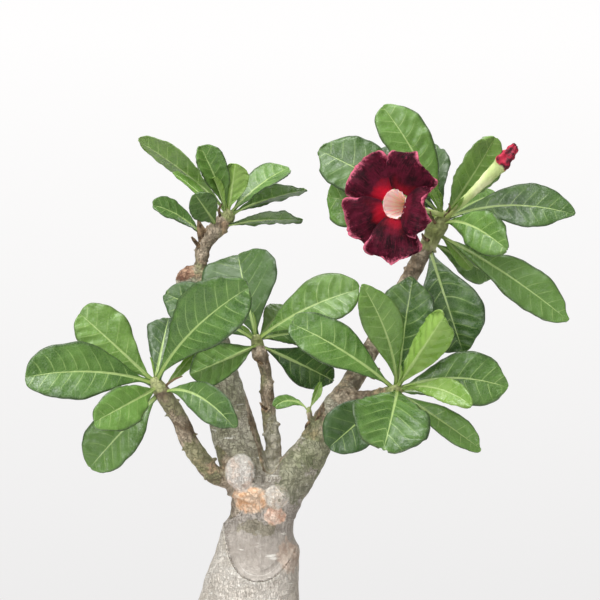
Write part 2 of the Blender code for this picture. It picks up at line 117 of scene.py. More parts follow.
Rosette = namedtuple("Rosette", "tip axis stem_radius")
ROSETTES = {
    "upper_left": Rosette((-0.0120, 0.025, 0.438), (0.62, 0.10, 0.78), 0.0052),
    "lower_left": Rosette((-0.0625, -0.029, 0.320), (-0.50, -0.25, 0.82), 0.0054),
    "middle": Rosette((0.0077, 0.000, 0.349), (-0.25, 0.00, 0.97), 0.0044),
    "lower_right": Rosette((0.1055, -0.030, 0.3155), (0.60, -0.70, 0.38), 0.0050),
    "upper_right": Rosette((0.1395, 0.009, 0.435), (0.50, -0.10, 0.86), 0.0062),
    "side": Rosette((0.0442, -0.010, 0.3000), (-0.20, 0.00, 0.97), 0.0018),
}
STEM_CLEARANCE = 0.0020
STALK_START = 0.35  # a stalk starts this far out of the stem's middle, as a share of the stem's radius

# angles in degrees and lengths in millimetres, as in the imported model; the last field is 0 for a grown leaf, 1
# for one that has just opened and -1 for a dull old one, and is also set leaf by leaf as painted shade below 0,
# a darker, greyer green, and as painted light above 0, a brighter young green
Plan = namedtuple("Plan", "turn lean length width roll arch sway fold drop age", defaults=(0, 4, 0, 8, 0, 0))
LEAF_PLANS = {
    "upper_left": [
        Plan(141, -10, 78, 28, 128, 4, age=0.5),
        Plan(110, 14, 47, 29, 30, 2, 0, 30),
        Plan(20, 16, 56, 25, -125, 3, age=-0.5),
        Plan(40, -18, 56, 30, -45, 4),
        Plan(78, 12, 34, 24, 158, 0, 0, 24, age=1.0),
        Plan(148, 20, 41, 20, 60, 2, -3, 14, 25, age=-0.4),
        Plan(122, 45, 32, 21, 8, 2, 0, 12, 13, age=-0.4),
        Plan(7, 10, 56, 22, -122, 3, 0, 8, 11, age=-0.4),
    ],
    "lower_left": [
        Plan(175, 20, 87, 41, 20, 6, -4.5),
        Plan(136, 4, 69, 36, 10, 4, age=0.25),
        Plan(46, 26, 96, 40, -15, 6, 5),
        Plan(207, 50, 63, 28, 0, 8, 0, 8, 4),
        Plan(228, 8, 64, 40, 12, 4, 0, 8, 9, age=-0.4),
        Plan(-26, 30, 62, 24, -18, 7, 8, 8, 9, age=-0.5),
        Plan(82, -38, 52, 25, 0, 4, age=-1.0),
        Plan(68, 10, 26, 9, 20, 1, 0, 40, age=0.9),
    ],
    "middle": [
        Plan(103, -18, 64, 52, -4, 7, age=-0.8),
        Plan(27, 12, 75, 36, -20, 4, 3, age=0.15),
        Plan(204, 36, 56, 29, 176, -4, 0, 8, 4),
        Plan(-28, -14, 56, 28, 172, -4, 0, 8, 5),
        Plan(5, -32, 52, 26, -20, 4),
        Plan(151, -1, 68, 34, 20, 4, age=-0.4),
        Plan(54, -44, 38, 18, 0, 2, age=0.5),
    ],
    "lower_right": [
        Plan(148, 4, 79, 32, 14, 5, -2, 8, 3),
        Plan(108, 26, 78, 27, 14, 4, -4, age=0.3),
        Plan(81, 3, 72, 36, -10, 5),
        Plan(57, 34, 68, 36, 158, 0, 0, 26, age=1.0),
        Plan(2, 8, 72, 37, -20, 5, 6),
        Plan(-9, 38, 60, 18, -40, 4, 5, age=0.8),
        Plan(-8, -34, 42, 22, -66, 3, 0, 8, 6),
        Plan(255, 56, 64, 53, 0, 8),
        Plan(-33, 14, 67, 23, -18, 3, 0, 8, 3, age=-0.2),
        Plan(220, 18, 56, 37, 0, 3, 0, 8, 6, age=-0.7),
    ],
    "upper_right": [
        Plan(117, 4, 83, 35, 5, 5, -3),
        Plan(97, -32, 60, 27, -24, 4, age=-0.8),
        Plan(150, -8, 93, 46, 20, 5, 0, 8, 3, age=-0.5),
        Plan(138, -30, 78, 30, 10, 5, age=-0.9),
        Plan(169, -16, 78, 40, 10, 5, 0, 8, 4),
        Plan(58, 6, 66, 36, 20, 3, 0, 14, age=0.3),
        Plan(3, 12, 86, 30, -25, 5, 6, age=-0.4),
        Plan(-24, 44, 58, 28, -8, 6, 5, 8, 4),
        Plan(-34, 8, 104, 29, -15, 4, 2, 8, 13, age=-0.3),
        Plan(-75, 18, 77, 44, 4, 5, 0, 8, 24),
        Plan(-28, -34, 56, 24, 0, 3, 0, 8, 20),
        Plan(28, -34, 48, 24, -24, 3),
    ],
    "side": [
        Plan(172, 12, 21, 9, 50, 1, -5),
        Plan(72, 6, 20, 8, 20, 1, 0, 30, age=0.8),
    ],
}
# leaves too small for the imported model; they ride and take a finish, but stand for no node
BUD_PLANS = {
    "upper_left": {
        1: Plan(104, 25, 26, 12, 150, 1, 0, 40, 2, 1.0),
        3: Plan(139, -12, 44, 12, 20, 3, 0, 40, 4, 0.2),
        2: Plan(100, -20, 34, 14, 0, 2, age=0.5),
    },
    "lower_left": {
        1: Plan(105, 20, 18, 6, 30, 1, 0, 60, age=1.0),
        2: Plan(52, -8, 34, 12, 20, 1, 0, 30, 8, 0.8),
    },
    "middle": {
        1: Plan(100, 10, 19, 7, 160, 1, 0, 60, age=1.0),
        2: Plan(130, 24, 16, 6, 20, 1, 0, 50, age=0.9),
    },
    "lower_right": {
        1: Plan(75, 40, 18, 6, 100, 1, 0, 60, age=1.0),
        2: Plan(20, 50, 20, 7, 20, 1, 0, 50, age=1.0),
    },
    "upper_right": {
        1: Plan(95, 30, 20, 7, 30, 1, 0, 60, age=1.0),
        2: Plan(50, 40, 24, 9, 10, 1, 0, 50, age=0.9),
        4: Plan(112, 30, 24, 9, 20, 1, 0, 40, age=1.0),
        3: Plan(-50, -10, 30, 12, -20, 2, 0, 12, 12, 0.6),
    },
}

FRONT = Vector((0, -1, 0))

# ---------------------------------------------------------------- hand tools


def only(piece):
    """Leaves this piece alone selected and active."""
    bpy.ops.object.select_all(action="DESELECT")
    piece.select_set(True)
    bpy.context.view_layer.objects.active = piece


def named(name):
    """Names the piece that was just added, and its mesh."""
    piece = bpy.context.object
    piece.name = name
    piece.data.name = name
    return piece


def edit(piece):
    only(piece)
    bpy.ops.object.mode_set(mode="EDIT")


def done():
    bpy.ops.object.mode_set(mode="OBJECT")


def pick(piece, test):
    """In edit mode, selects just the vertices whose place passes the test."""
    mesh = bmesh.from_edit_mesh(piece.data)
    bpy.ops.mesh.select_all(action="DESELECT")
    for vertex in mesh.verts:
        vertex.select = test(vertex.co)
    mesh.select_flush(True)
    bmesh.update_edit_mesh(piece.data)


def pick_top_face(piece):
    """In edit mode, selects just the highest face that looks up."""
    mesh = bmesh.from_edit_mesh(piece.data)
    bpy.ops.mesh.select_all(action="DESELECT")
    level = [face for face in mesh.faces if face.normal.z > 0.9]
    max(level, key=lambda face: face.calc_center_median().z).select = True
    bmesh.update_edit_mesh(piece.data)


def settle(piece):
    """Applies the piece's place, turn and scale, so that they are in its mesh."""
    only(piece)
    bpy.ops.object.transform_apply(location=True, rotation=True, scale=True)


def modify(piece, kind, **settings):
    """Adds a modifier with these settings and applies it."""
    only(piece)
    modifier = piece.modifiers.new(kind.lower(), kind)
    for key, value in settings.items():
        setattr(modifier, key, value)
    bpy.ops.object.modifier_apply(modifier=modifier.name)


def bend(piece, axis, angle):
    """Bends an upright piece: X away from its front, Y towards +X, Z round its own length."""
    if abs(angle) > 0.01:
        modify(piece, "SIMPLE_DEFORM", deform_method="BEND", deform_axis=axis, angle=angle)


def join(pieces, name):
    only(pieces[0])
    for piece in pieces[1:]:
        piece.select_set(True)
    bpy.ops.object.join()
    return named(name)


def copy_of(piece, name):
    """A copy with its own mesh."""
    made = piece.copy()
    made.data = piece.data.copy()
    made.name = name
    made.data.name = name
    SCENE.collection.objects.link(made)
    return made


def smooth(piece, angle=180):
    only(piece)
    if angle < 180:
        bpy.ops.object.shade_smooth_by_angle(angle=radians(angle))
    else:
        bpy.ops.object.shade_smooth()


def finish_piece(piece, slot, *materials, stands_for=None):
    """Gives a finished piece its materials, hangs it from the root body, and hides the imported part it stands
    for.
    """
    for material in materials:
        piece.data.materials.append(material)
    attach(piece, "root")
    if stands_for:
        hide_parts(stands_for)


def drawn_grid(name, columns, rows, half_width, spread=lambda height: height):
    """A unit grid standing upright, its rows spread and drawn in to an outline one by one."""
    bpy.ops.mesh.primitive_grid_add(x_subdivisions=columns, y_subdivisions=rows, size=1,
                                    location=(0, 0, 0.5), rotation=(pi / 2, 0, 0))
    piece = named(name)
    settle(piece)
    edit(piece)
    for row in reversed(range(rows + 1)):
        height = row / rows
        spaced = spread(height)
        pick(piece, lambda place: abs(place.z - height) < 0.2 / rows)
        bpy.ops.transform.resize(value=(half_width(spaced), 1, 1), center_override=(0, 0, height))
        bpy.ops.transform.translate(value=(0, 0, spaced - height))
    done()
    return piece


def move_vertices(piece, moves):
    for vertex, move in zip(piece.data.vertices, moves):
        vertex.co += move


def rod(name, points, sides=6):
    """A stem as a round-bevelled curve through points (x, y, z, radius), made a mesh."""
    curve = bpy.data.curves.new(name, "CURVE")
    curve.dimensions = "3D"
    curve.bevel_depth = 1.0
    curve.bevel_resolution = sides
    curve.resolution_u = 8
    curve.use_fill_caps = True
    spline = curve.splines.new("BEZIER")
    spline.bezier_points.add(len(points) - 1)
    for knot, point in zip(spline.bezier_points, points):
        knot.co = point[:3]
        knot.radius = point[3]
        knot.handle_left_type = knot.handle_right_type = "AUTO"
    piece = bpy.data.objects.new(name, curve)
    SCENE.collection.objects.link(piece)
    only(piece)
    bpy.ops.object.convert(target="MESH")
    return piece


def set_attribute(piece, name, values):
    """Writes one number or one vector for each vertex."""
    vector = not isinstance(values[0], float)
    layer = piece.data.attributes.new(name, "FLOAT_VECTOR" if vector else "FLOAT", "POINT")
    if vector:
        layer.data.foreach_set("vector", [number for value in values for number in value])
    else:
        layer.data.foreach_set("value", values)


# ---------------------------------------------------------------- paint: short names for shader nodes


class Nodes:
    """The nodes of a material or a world."""

    def __init__(self, owner):
        owner.use_nodes = True
        self.tree = owner.node_tree

    def add(self, kind, inputs=None, **settings):
        node = self.tree.nodes.new("ShaderNode" + kind)
        for key, value in settings.items():
            setattr(node, key, value)
        for socket, value in (inputs or {}).items():
            self.plug(value, node.inputs[socket])
        return node

    def plug(self, value, socket):
        if isinstance(value, bpy.types.NodeSocket):
            self.tree.links.new(value, socket)
        else:
            socket.default_value = value

    def math(self, operation, a, b=0.0, c=0.0):
        return self.add("Math", {0: a, 1: b, 2: c}, operation=operation).outputs[0]

    def times(self, *values):
        return reduce(lambda a, b: self.math("MULTIPLY", a, b), values)

    def plus(self, *values):
        return reduce(lambda a, b: self.math("ADD", a, b), values)

    def sway(self, value, reach):
        """A value of 0 to 1 carried to -reach to reach."""
        return self.math("MULTIPLY_ADD", value, reach * 2, -reach)

    def vector(self, operation, *vectors):
        return self.add("VectorMath", dict(enumerate(vectors)), operation=operation).outputs

    def stretched(self, place, stretch):
        if not stretch:
            return place
        return self.add("Mapping", {"Vector": place, "Scale": stretch}).outputs[0]

    def split(self, vector):
        return self.add("SeparateXYZ", {0: vector}).outputs

    def range(self, value, low, high, to_low=0.0, to_high=1.0, kind="SMOOTHSTEP"):
        """The value carried from low..high to to_low..to_high, and held beyond."""
        inputs = {"Value": value, "From Min": low, "From Max": high, "To Min": to_low, "To Max": to_high}
        return self.add("MapRange", inputs, interpolation_type=kind).outputs[0]


class Paint(Nodes):
    """A material with its shader and its nodes."""

    def __init__(self, name, roughness, gloss, **sockets):
        self.material = bpy.data.materials.new(name)
        super().__init__(self.material)
        self.shader = self.tree.nodes["Principled BSDF"]
        sockets.update(Roughness=roughness, Specular_IOR_Level=gloss)
        for socket, value in sockets.items():
            self.shader.inputs[socket.replace("_", " ")].default_value = value
        self.place = self.add("TexCoord").outputs["Object"]

    def noise(self, scale, detail=4.0, stretch=None, roughness=0.55, distortion=0.0, place=None):
        place = self.stretched(place or self.place, stretch)
        inputs = {"Vector": place, "Scale": scale, "Detail": detail, "Roughness": roughness,
                  "Distortion": distortion}
        return self.add("TexNoise", inputs).outputs[0]

    def cells(self, scale, stretch=None, feature="DISTANCE_TO_EDGE"):
        inputs = {"Vector": self.stretched(self.place, stretch), "Scale": scale}
        return self.add("TexVoronoi", inputs, feature=feature).outputs[0]

    def mix(self, amount, a, b):
        node = self.add("Mix", data_type="RGBA")
        self.plug(amount, node.inputs[0])
        for value, socket in ((a, node.inputs[6]), (b, node.inputs[7])):
            if isinstance(value, tuple) and len(value) == 3:
                value = (*value, 1)
            self.plug(value, socket)
        return node.outputs[2]

    def blend(self, value, low, high, a, b):
        """From one colour to the other as the value goes from low to high."""
        return self.mix(self.range(value, low, high), a, b)

    def coat(self, under, colour, *amounts):
        """A colour laid over another, as thick as the amounts multiplied together."""
        return self.mix(self.times(*amounts), under, colour)

    def attribute(self, name):
        return self.add("Attribute", attribute_name=name).outputs

    def spot(self, centre, reach, ragged=0.35, grain=160):
        """1 within reach, an (x, y, z), of a point and 0 beyond, with a ragged edge."""
        shifted = self.vector("SUBTRACT", self.place, centre)[0]
        far = self.vector("LENGTH", self.vector("DIVIDE", shifted, reach)[0])["Value"]
        rough = self.plus(*(self.sway(noise, ragged) for noise in (self.noise(grain, 4.0), self.noise(60, 2.0))))
        return self.range(self.plus(far, rough), 1.10, 0.84)

    def finish(self, colour, bump=None, strength=0.5, distance=0.001, roughness=None):
        self.plug(colour, self.shader.inputs["Base Color"])
        if roughness is not None:
            self.plug(roughness, self.shader.inputs["Roughness"])
        if bump is not None:
            node = self.add("Bump", {"Height": bump, "Strength": strength, "Distance": distance})
            self.plug(node.outputs[0], self.shader.inputs["Normal"])
        return self.material


def leaf_paint(name, upper):
    """A leaf's skin. Attribute "blade" holds cm off the midrib, cm along it, and the vein count up to there;
    "nature" holds age with painted shade and light set leaf by leaf, tint and the share along; "edge" is 1 at
    the margin.
    """
    p = Paint(name, 0.42, 0.50 if upper else 0.30)
    off, _, count = p.split(p.attribute("blade")["Vector"])
    age, tint, share = p.split(p.attribute("nature")["Vector"])
    edge = p.attribute("edge")["Fac"]
    ridge = p.math("ABSOLUTE", p.math("SUBTRACT", p.math("FRACT", count), 0.5))
    vein = p.times(p.range(ridge, 0.052, 0.014), p.range(edge, 0.97, 0.40))
    vein = p.times(vein, p.range(p.noise(70, 3.0), 0.30, 0.62, 0.35, 1.0))
    glow = p.times(p.range(ridge, 0.22, 0.0), p.range(edge, 0.9, 0.3))
    rib_width = p.range(share, 0.0, 1.0, 0.115, 0.022)
    rib = p.range(p.math("DIVIDE", off, rib_width), 1.25, 0.55)
    rib = p.times(rib, p.range(share, 0.985, 0.86, 0.15, 1.0))
    net = p.range(p.cells(560), 0.0, 0.11, 1.0, 0.0)
    cloud = p.noise(55, 6.0, roughness=0.62)
    blotch = p.noise(17, 3.0)
    if upper:
        deep, fresh = (0.022, 0.074, 0.010), (0.120, 0.245, 0.042)
        pale, rim = (0.38, 0.51, 0.18), (0.02, 0.040, 0.015)
    else:
        deep, fresh = (0.150, 0.225, 0.100), (0.235, 0.325, 0.150)
        pale, rim = (0.44, 0.54, 0.27), (0.11, 0.15, 0.07)
    bright = p.plus(p.times(cloud, 0.75), p.times(blotch, 0.45), p.math("MULTIPLY_ADD", tint, 0.55, -0.10))
    skin = p.blend(bright, 0.40, 0.98, deep, fresh)
    skin = p.coat(skin, fresh, glow, 0.22)
    # painted shade: a dark line along the margin, partly the leaf's own darker edge and partly the shade of its
    # curled rim
    skin = p.coat(skin, rim, p.range(edge, 0.84, 1.0), 0.75)
    skin = p.coat(skin, pale, net, 0.12)
    skin = p.coat(skin, pale, vein, 0.58)
    # painted shade: below 0 the leaf's age field takes the skin to a darker, greyer green, partly an old leaf's
    # dull tone and partly shade painted leaf by leaf
    dull_and_shaded = (0.040, 0.080, 0.028) if upper else (0.120, 0.165, 0.090)
    dull_and_shaded = p.coat(dull_and_shaded, pale, p.range(vein, 0.0, 1.0), 0.35)
    skin = p.mix(p.range(age, 0.0, -1.0, 0.0, 0.80), skin, dull_and_shaded)
    # above 0 the same field takes the skin to a brighter young green: the colour of new leaves, and painted
    # light on some leaves that lie in shade
    young = (0.215, 0.385, 0.060) if upper else (0.300, 0.470, 0.095)
    young = p.blend(cloud, 0.35, 0.7, young, (0.30, 0.46, 0.10))
    skin = p.coat(skin, p.mix(p.times(vein, 0.45), young, pale), age, 0.85)
    stalk = p.blend(share, 0.04, 0.20, (0.34, 0.45, 0.12), pale)
    colour = p.mix(p.times(rib, 0.92), skin, stalk)
    worn = p.times(p.range(p.noise(34, 5.0, roughness=0.7), 0.66, 0.74), p.range(share, 0.5, 0.95))
    colour = p.coat(colour, (0.22, 0.15, 0.07), worn, 0.55)
    height = p.plus(p.times(ridge, 0.5), p.times(cloud, 0.7), p.times(net, -0.15))
    roughness = p.math("MULTIPLY_ADD", cloud, 0.48, 0.06 if upper else 0.32)
    return p.finish(colour, height, 0.60, 0.0009, roughness)


GIRTH_THIN = 0.0062
GIRTH_THICK = 0.0092
ARC_SPACING = 0.0042
RING_SPACING = 0.0016
BARE_SPOTS = [  # centre and reach in millimetres, raggedness, two colours, strength
    ((1.8, -26, 237.8), (15.8, 22, 9.8), 0.26, (0.88, 0.50, 0.27), (1.00, 0.77, 0.58), 0.92),
    ((21, -26, 227), (7.8, 22, 6.8), 0.34, (0.88, 0.52, 0.36), (1.00, 0.78, 0.64), 0.88),
    ((-3.5, -22, 257), (11.2, 22, 13.6), 0.14, (1.00, 0.84, 0.72), (1.00, 0.95, 0.88), 0.98),
    ((22.3, -26, 240), (9, 22, 8.6), 0.28, (0.86, 0.72, 0.58), (1.00, 0.94, 0.85), 0.96),
    ((7, -26, 218), (13, 22, 5), 0.95, (0.16, 0.15, 0.08), (0.34, 0.31, 0.20), 0.55),
    ((37, -10, 256), (15, 30, 20), 0.90, (0.14, 0.165, 0.07), (0.26, 0.28, 0.15), 0.55),
    ((30, -18, 198), (9, 22, 11), 0.55, (0.56, 0.38, 0.28), (0.72, 0.58, 0.47), 0.55),
    ((52, -10, 273), (15, 30, 20), 0.90, (0.13, 0.155, 0.065), (0.27, 0.29, 0.16), 0.60),
    ((-33, -18, 269), (12, 20, 12), 0.80, (0.19, 0.22, 0.085), (0.44, 0.44, 0.25), 0.60),
    ((18.2, 0, 270), (7, 12, 29), 0.45, (0.33, 0.315, 0.22), (0.58, 0.55, 0.45), 0.85),
    ((-45.5, 16, 396.5), (8.5, 30, 7), 0.45, (0.15, 0.055, 0.030), (0.50, 0.31, 0.20), 0.90),
]
CALLUS_SPOTS = BARE_SPOTS[2:4]


def bark_paint():
    """Attribute "girth" is the limb's radius there, and "above" the height over the graft's seam."""
    p = Paint("skin_bark", 0.8, 0.28)
    girth, above = p.attribute("girth")["Fac"], p.attribute("above")["Fac"]
    sideways, _, height = p.split(p.place)

    def wrinkles(scale, stretch, width):
        drift = p.noise(scale, 3.0, stretch, distortion=0.8)
        return p.range(p.math("ABSOLUTE", p.math("SUBTRACT", drift, 0.5)), width, 0.0)

    cloud = p.noise(42, 6.0, roughness=0.62)
    fine = p.noise(420, 5.0, (1, 1, 0.4))
    crackle = p.range(p.cells(620, (1, 1, 0.50)), 0.0, 0.11, 1.0, 0.0)
    upright = wrinkles(330, (1, 1, 0.42), 0.040)
    cross = wrinkles(240, (0.45, 0.45, 1.3), 0.035)
    stock = p.range(above, 0.0006, -0.0006)
    grey = p.blend(cloud, 0.30, 0.70, (0.39, 0.35, 0.31), (0.58, 0.53, 0.48))
    pale = p.blend(cloud, 0.34, 0.66, (0.80, 0.735, 0.645), (0.99, 0.945, 0.87))
    pale = p.coat(pale, (0.95, 0.92, 0.86), p.range(fine, 0.40, 0.62), 0.40)
    limb = p.blend(cloud, 0.32, 0.66, (0.33, 0.315, 0.22), (0.58, 0.545, 0.44))
    green = p.range(p.noise(26, 4.0), 0.44, 0.62)
    limb = p.coat(limb, (0.185, 0.215, 0.100), green, p.range(sideways, -0.01, 0.03, 0.35, 0.85))
    skin = p.blend(height, 0.238, 0.275, grey, limb)
    near = p.times(p.range(above, -0.030, -0.002), 0.22)
    worn = p.blend(cloud, 0.34, 0.66, (0.47, 0.42, 0.35), (0.66, 0.61, 0.53))
    skin = p.mix(stock, skin, p.mix(near, pale, worn))
    stem = p.blend(p.noise(120, 5.0), 0.36, 0.64, (0.180, 0.130, 0.080), (0.52, 0.43, 0.32))
    stem = p.coat(stem, (0.29, 0.31, 0.15), p.range(p.noise(38, 3.0), 0.48, 0.60), 0.7)
    stem = p.coat(stem, (0.62, 0.42, 0.26), p.range(p.noise(75, 3.0), 0.58, 0.68), 0.7)
    thin = p.range(girth, GIRTH_THICK, GIRTH_THIN)
    skin = p.mix(thin, skin, stem)
    dark = p.times(p.math("MAXIMUM", upright, p.times(cross, 0.7)), 0.62)
    dark = p.times(dark, p.range(stock, 0.0, 1.0, 1.0, 0.62))
    calm = p.times(p.range(height, 0.236, 0.200), p.range(above, 0.0, 0.002))
    dark = p.times(dark, p.range(calm, 0.0, 1.0, 1.0, 0.22))
    skin = p.mix(dark, skin, (0.190, 0.160, 0.115))
    ripple = p.math("MULTIPLY_ADD", p.noise(150, 3.0, (1, 1, 0.6)), 0.0042, height)
    rows = p.range(p.math("SINE", p.times(ripple, tau / RING_SPACING)), 0.20, 0.95)
    patchy, upper = p.range(p.noise(60, 3.0), 0.40, 0.58), p.range(height, 0.250, 0.272)
    rows = p.times(rows, patchy, p.range(thin, 0.5, 0.0), upper)
    skin = p.coat(skin, (0.235, 0.205, 0.150), rows, 0.42)
    skin = p.coat(skin, (0.48, 0.42, 0.34), crackle, stock, 0.24)
    # painted shade: the rootstock is painted darker towards its left and right sides, as shade on the round
    # trunk's flanks
    left, right = p.range(sideways, -0.002, -0.026, 0.0, 0.36), p.range(sideways, 0.018, 0.036, 0.0, 0.36)
    painted_flank_shade = p.math("MAXIMUM", left, right)
    skin = p.mix(p.times(painted_flank_shade, stock), skin, (0.40, 0.36, 0.30))
    fleck = p.range(p.noise(190, 2.0, (0.40, 0.40, 2.0)), 0.645, 0.70)
    fleck = p.times(fleck, p.range(thin, 0.3, 0.0), p.range(height, 0.33, 0.29))
    skin = p.coat(skin, (0.88, 0.86, 0.80), fleck, 0.65)
    arcs = p.range(p.math("COSINE", p.times(above, tau / ARC_SPACING)), 0.82, 1.0)
    arcs = p.times(arcs, p.range(above, 0.001, 0.003), p.range(above, 0.012, 0.006))
    arcs = p.times(arcs, p.range(height, 0.212, 0.196), p.range(cloud, 0.35, 0.62))
    skin = p.coat(skin, (0.82, 0.79, 0.73), arcs, 0.60)
    for name, rosette in ROSETTES.items():
        reach = rosette.stem_radius * (1.6 if name != "upper_right" else 4.0)
        shoot = p.times(p.spot(rosette.tip, (reach,) * 3, 0.3, 200), 0.8)
        skin = p.mix(shoot, skin, p.blend(cloud, 0.35, 0.65, (0.27, 0.33, 0.10), (0.45, 0.50, 0.22)))
    for centre, reach, ragged, low, high, strength in BARE_SPOTS:
        mottled = p.blend(p.noise(170, 5.0, roughness=0.65), 0.36, 0.60, low, high)
        skin = p.mix(p.times(p.spot(metres(centre), metres(reach), ragged, 260), strength), skin, mottled)
    callus = [p.spot(metres(centre), metres(reach), ragged) for centre, reach, ragged, *_ in CALLUS_SPOTS]
    crust = p.math("MAXIMUM", *callus)
    pits = p.math("MAXIMUM", wrinkles(300, (1, 1, 1), 0.040), p.range(p.cells(340), 0.0, 0.06, 1.0, 0.0))
    skin = p.coat(skin, (0.45, 0.33, 0.25), pits, crust, 0.24)
    bumps = p.plus(p.times(fine, 0.6), p.times(dark, -1.6), p.times(p.noise(160, 5.0), 0.9))
    bumps = p.plus(bumps, p.times(crackle, stock, -0.5), p.times(pits, crust, -0.5))
    return p.finish(skin, bumps, 0.85, 0.0011)


def clay_paint():
    p = Paint("fired_clay", 0.88, 0.2)
    cloud = p.noise(16, 5.0)
    grain = p.noise(900, 3.0)
    bloom = p.range(p.noise(28, 6.0, (1, 1, 0.6)), 0.50, 0.74)
    height = p.split(p.place)[2]
    clay = p.blend(cloud, 0.32, 0.70, (0.47, 0.195, 0.105), (0.58, 0.275, 0.165))
    clay = p.coat(clay, (0.70, 0.43, 0.30), p.range(grain, 0.55, 0.75), 0.35)
    # the clay is painted darker towards the bottom
    darker_low = p.times(p.range(height, 0.030, 0.0), 0.45)
    clay = p.mix(darker_low, clay, (0.28, 0.125, 0.075))
    clay = p.coat(clay, (0.74, 0.62, 0.52), bloom, 0.40)
    rings = p.noise(260, 2.0, (0.02, 0.02, 1.0))
    height = p.plus(p.times(rings, 0.8), p.times(grain, 0.35))
    return p.finish(clay, height, 0.45, 0.0006)


def soil_paint():
    p = Paint("potting_mix", 0.95, 0.15)
    crumbs = p.cells(300, feature="F1")
    colour = p.blend(p.noise(210, 5.0), 0.35, 0.65, (0.030, 0.021, 0.014), (0.120, 0.086, 0.058))
    return p.finish(colour, p.plus(crumbs, p.noise(600, 4.0)), 1.0, 0.0015)


def grit_paint():
    """Loose stones. Attribute "tone" picks pumice, lava or bark chip."""
    p = Paint("grit", 0.9, 0.2)
    tone = p.attribute("tone")["Fac"]
    stone = p.blend(tone, 0.30, 0.34, (0.075, 0.050, 0.036), (0.26, 0.135, 0.085))
    stone = p.blend(tone, 0.58, 0.62, stone, (0.62, 0.57, 0.48))
    stone = p.mix(p.range(p.noise(900, 3.0), 0.35, 0.7, 0.0, 0.5), stone, (0.10, 0.08, 0.06))
    return p.finish(stone, p.noise(1200, 3.0), 0.6, 0.0006)


def petal_paint():
    """Velvet petal. Attribute "lobe" holds the share along, the share across and edge nearness; "glow" is the
    strength of its red heart.
    """
    p = Paint("velvet_petal", 0.60, 0.09, Sheen_Weight=0.05, Sheen_Roughness=0.4)
    p.shader.inputs["Sheen Tint"].default_value = (0.80, 0.16, 0.30, 1)
    along, across, rim = p.split(p.attribute("lobe")["Vector"])
    glow = p.attribute("glow")["Fac"]
    lines = p.add("CombineXYZ", {0: across, 1: p.times(along, 0.10)}).outputs[0]
    streak = p.noise(30, 4.0, place=lines)
    speck = p.noise(520, 3.0, roughness=0.75)
    cloud = p.range(p.noise(90, 5.0, roughness=0.65), 0.36, 0.66)
    velvet = p.mix(cloud, (0.012, 0.0012, 0.0035), (0.082, 0.0045, 0.017))
    velvet = p.coat(velvet, (0.150, 0.007, 0.028), p.range(streak, 0.50, 0.70), 0.45)
    velvet = p.mix(p.times(p.range(speck, 0.55, 0.68), p.range(rim, 0.1, 0.8, 0.10, 0.65)), velvet,
                   (0.36, 0.035, 0.085))
    drift = p.sway(p.noise(110, 3.0), 0.25)
    heart = p.times(p.range(p.plus(along, drift), 0.37, 0.03), glow)
    heart = p.times(heart, p.range(p.math("ABSOLUTE", across), 1.0, 0.15))
    velvet = p.mix(heart, velvet, (0.46, 0.004, 0.018))
    uneven = p.math("MULTIPLY_ADD", streak, 0.45, -0.22)
    ragged = p.plus(p.sway(speck, 0.275), uneven, p.sway(p.noise(60, 2.0), 0.3))
    wide = p.math("MULTIPLY_ADD", glow, 0.12, rim)
    margin = p.range(p.plus(wide, ragged), 0.66, 1.08)
    velvet = p.coat(velvet, (0.68, 0.150, 0.235), margin, 0.90)
    height = p.plus(p.times(streak, 0.8), p.times(speck, 0.8))
    return p.finish(velvet, height, 0.7, 0.0008)


def throat_paint():
    """Ribbed funnel. Attribute "funnel" holds the turn round it (-0.5 to 0.5), the depth (0 at the mouth) and
    how far round it lies towards the lower side.
    """
    p = Paint("throat", 0.5, 0.35, Subsurface_Weight=0.35, Subsurface_Scale=0.003)
    turn, depth, shade = p.split(p.attribute("funnel")["Vector"])
    rib = p.math("SINE", p.times(turn, tau * FUNNEL_RIBS))
    line = p.range(p.plus(rib, p.sway(p.noise(300, 2.0), 0.4)), 0.35, 0.95)
    cream = p.blend(depth, 0.02, 0.60, (1.0, 0.80, 0.76), (1.0, 0.90, 0.74))
    pink = p.mix(p.times(line, p.range(shade, 0.1, 0.8, 0.28, 1.0)), cream, (0.95, 0.27, 0.33))
    pink = p.coat(pink, (0.98, 0.52, 0.52), p.range(shade, 0.3, 1.0), 0.40)
    edge = p.range(depth, 0.045, 0.01)
    return p.finish(p.mix(p.times(edge, 0.55), pink, (0.95, 0.50, 0.52)), rib, 0.3, 0.0006)


def stalk_paint():
    p = Paint("flower_stalk", 0.5, 0.4)
    colour = p.blend(p.noise(140, 4.0), 0.35, 0.7, (0.33, 0.42, 0.11), (0.56, 0.62, 0.28))
    return p.finish(colour, p.noise(500, 3.0), 0.3, 0.0005)


def spent_bud_paint():
    """Attribute "reach" runs from 0 at the stalk to 1 at the tip."""
    p = Paint("spent_bud", 0.6, 0.3)
    reach = p.attribute("reach")["Fac"]
    tube = p.blend(p.noise(90, 3.0, (1, 1, 0.4)), 0.35, 0.7, (0.50, 0.60, 0.24), (0.68, 0.72, 0.40))
    red = p.blend(p.noise(260, 4.0), 0.38, 0.62, (0.055, 0.005, 0.012), (0.48, 0.020, 0.055))
    edge = p.plus(reach, p.sway(p.noise(220, 3.0), 0.045))
    tube = p.blend(reach, 0.18, 0.05, tube, (0.36, 0.43, 0.13))
    return p.finish(p.blend(edge, 0.755, 0.785, tube, red), p.noise(400, 4.0), 0.6, 0.0008)


# ---------------------------------------------------------------- leaves

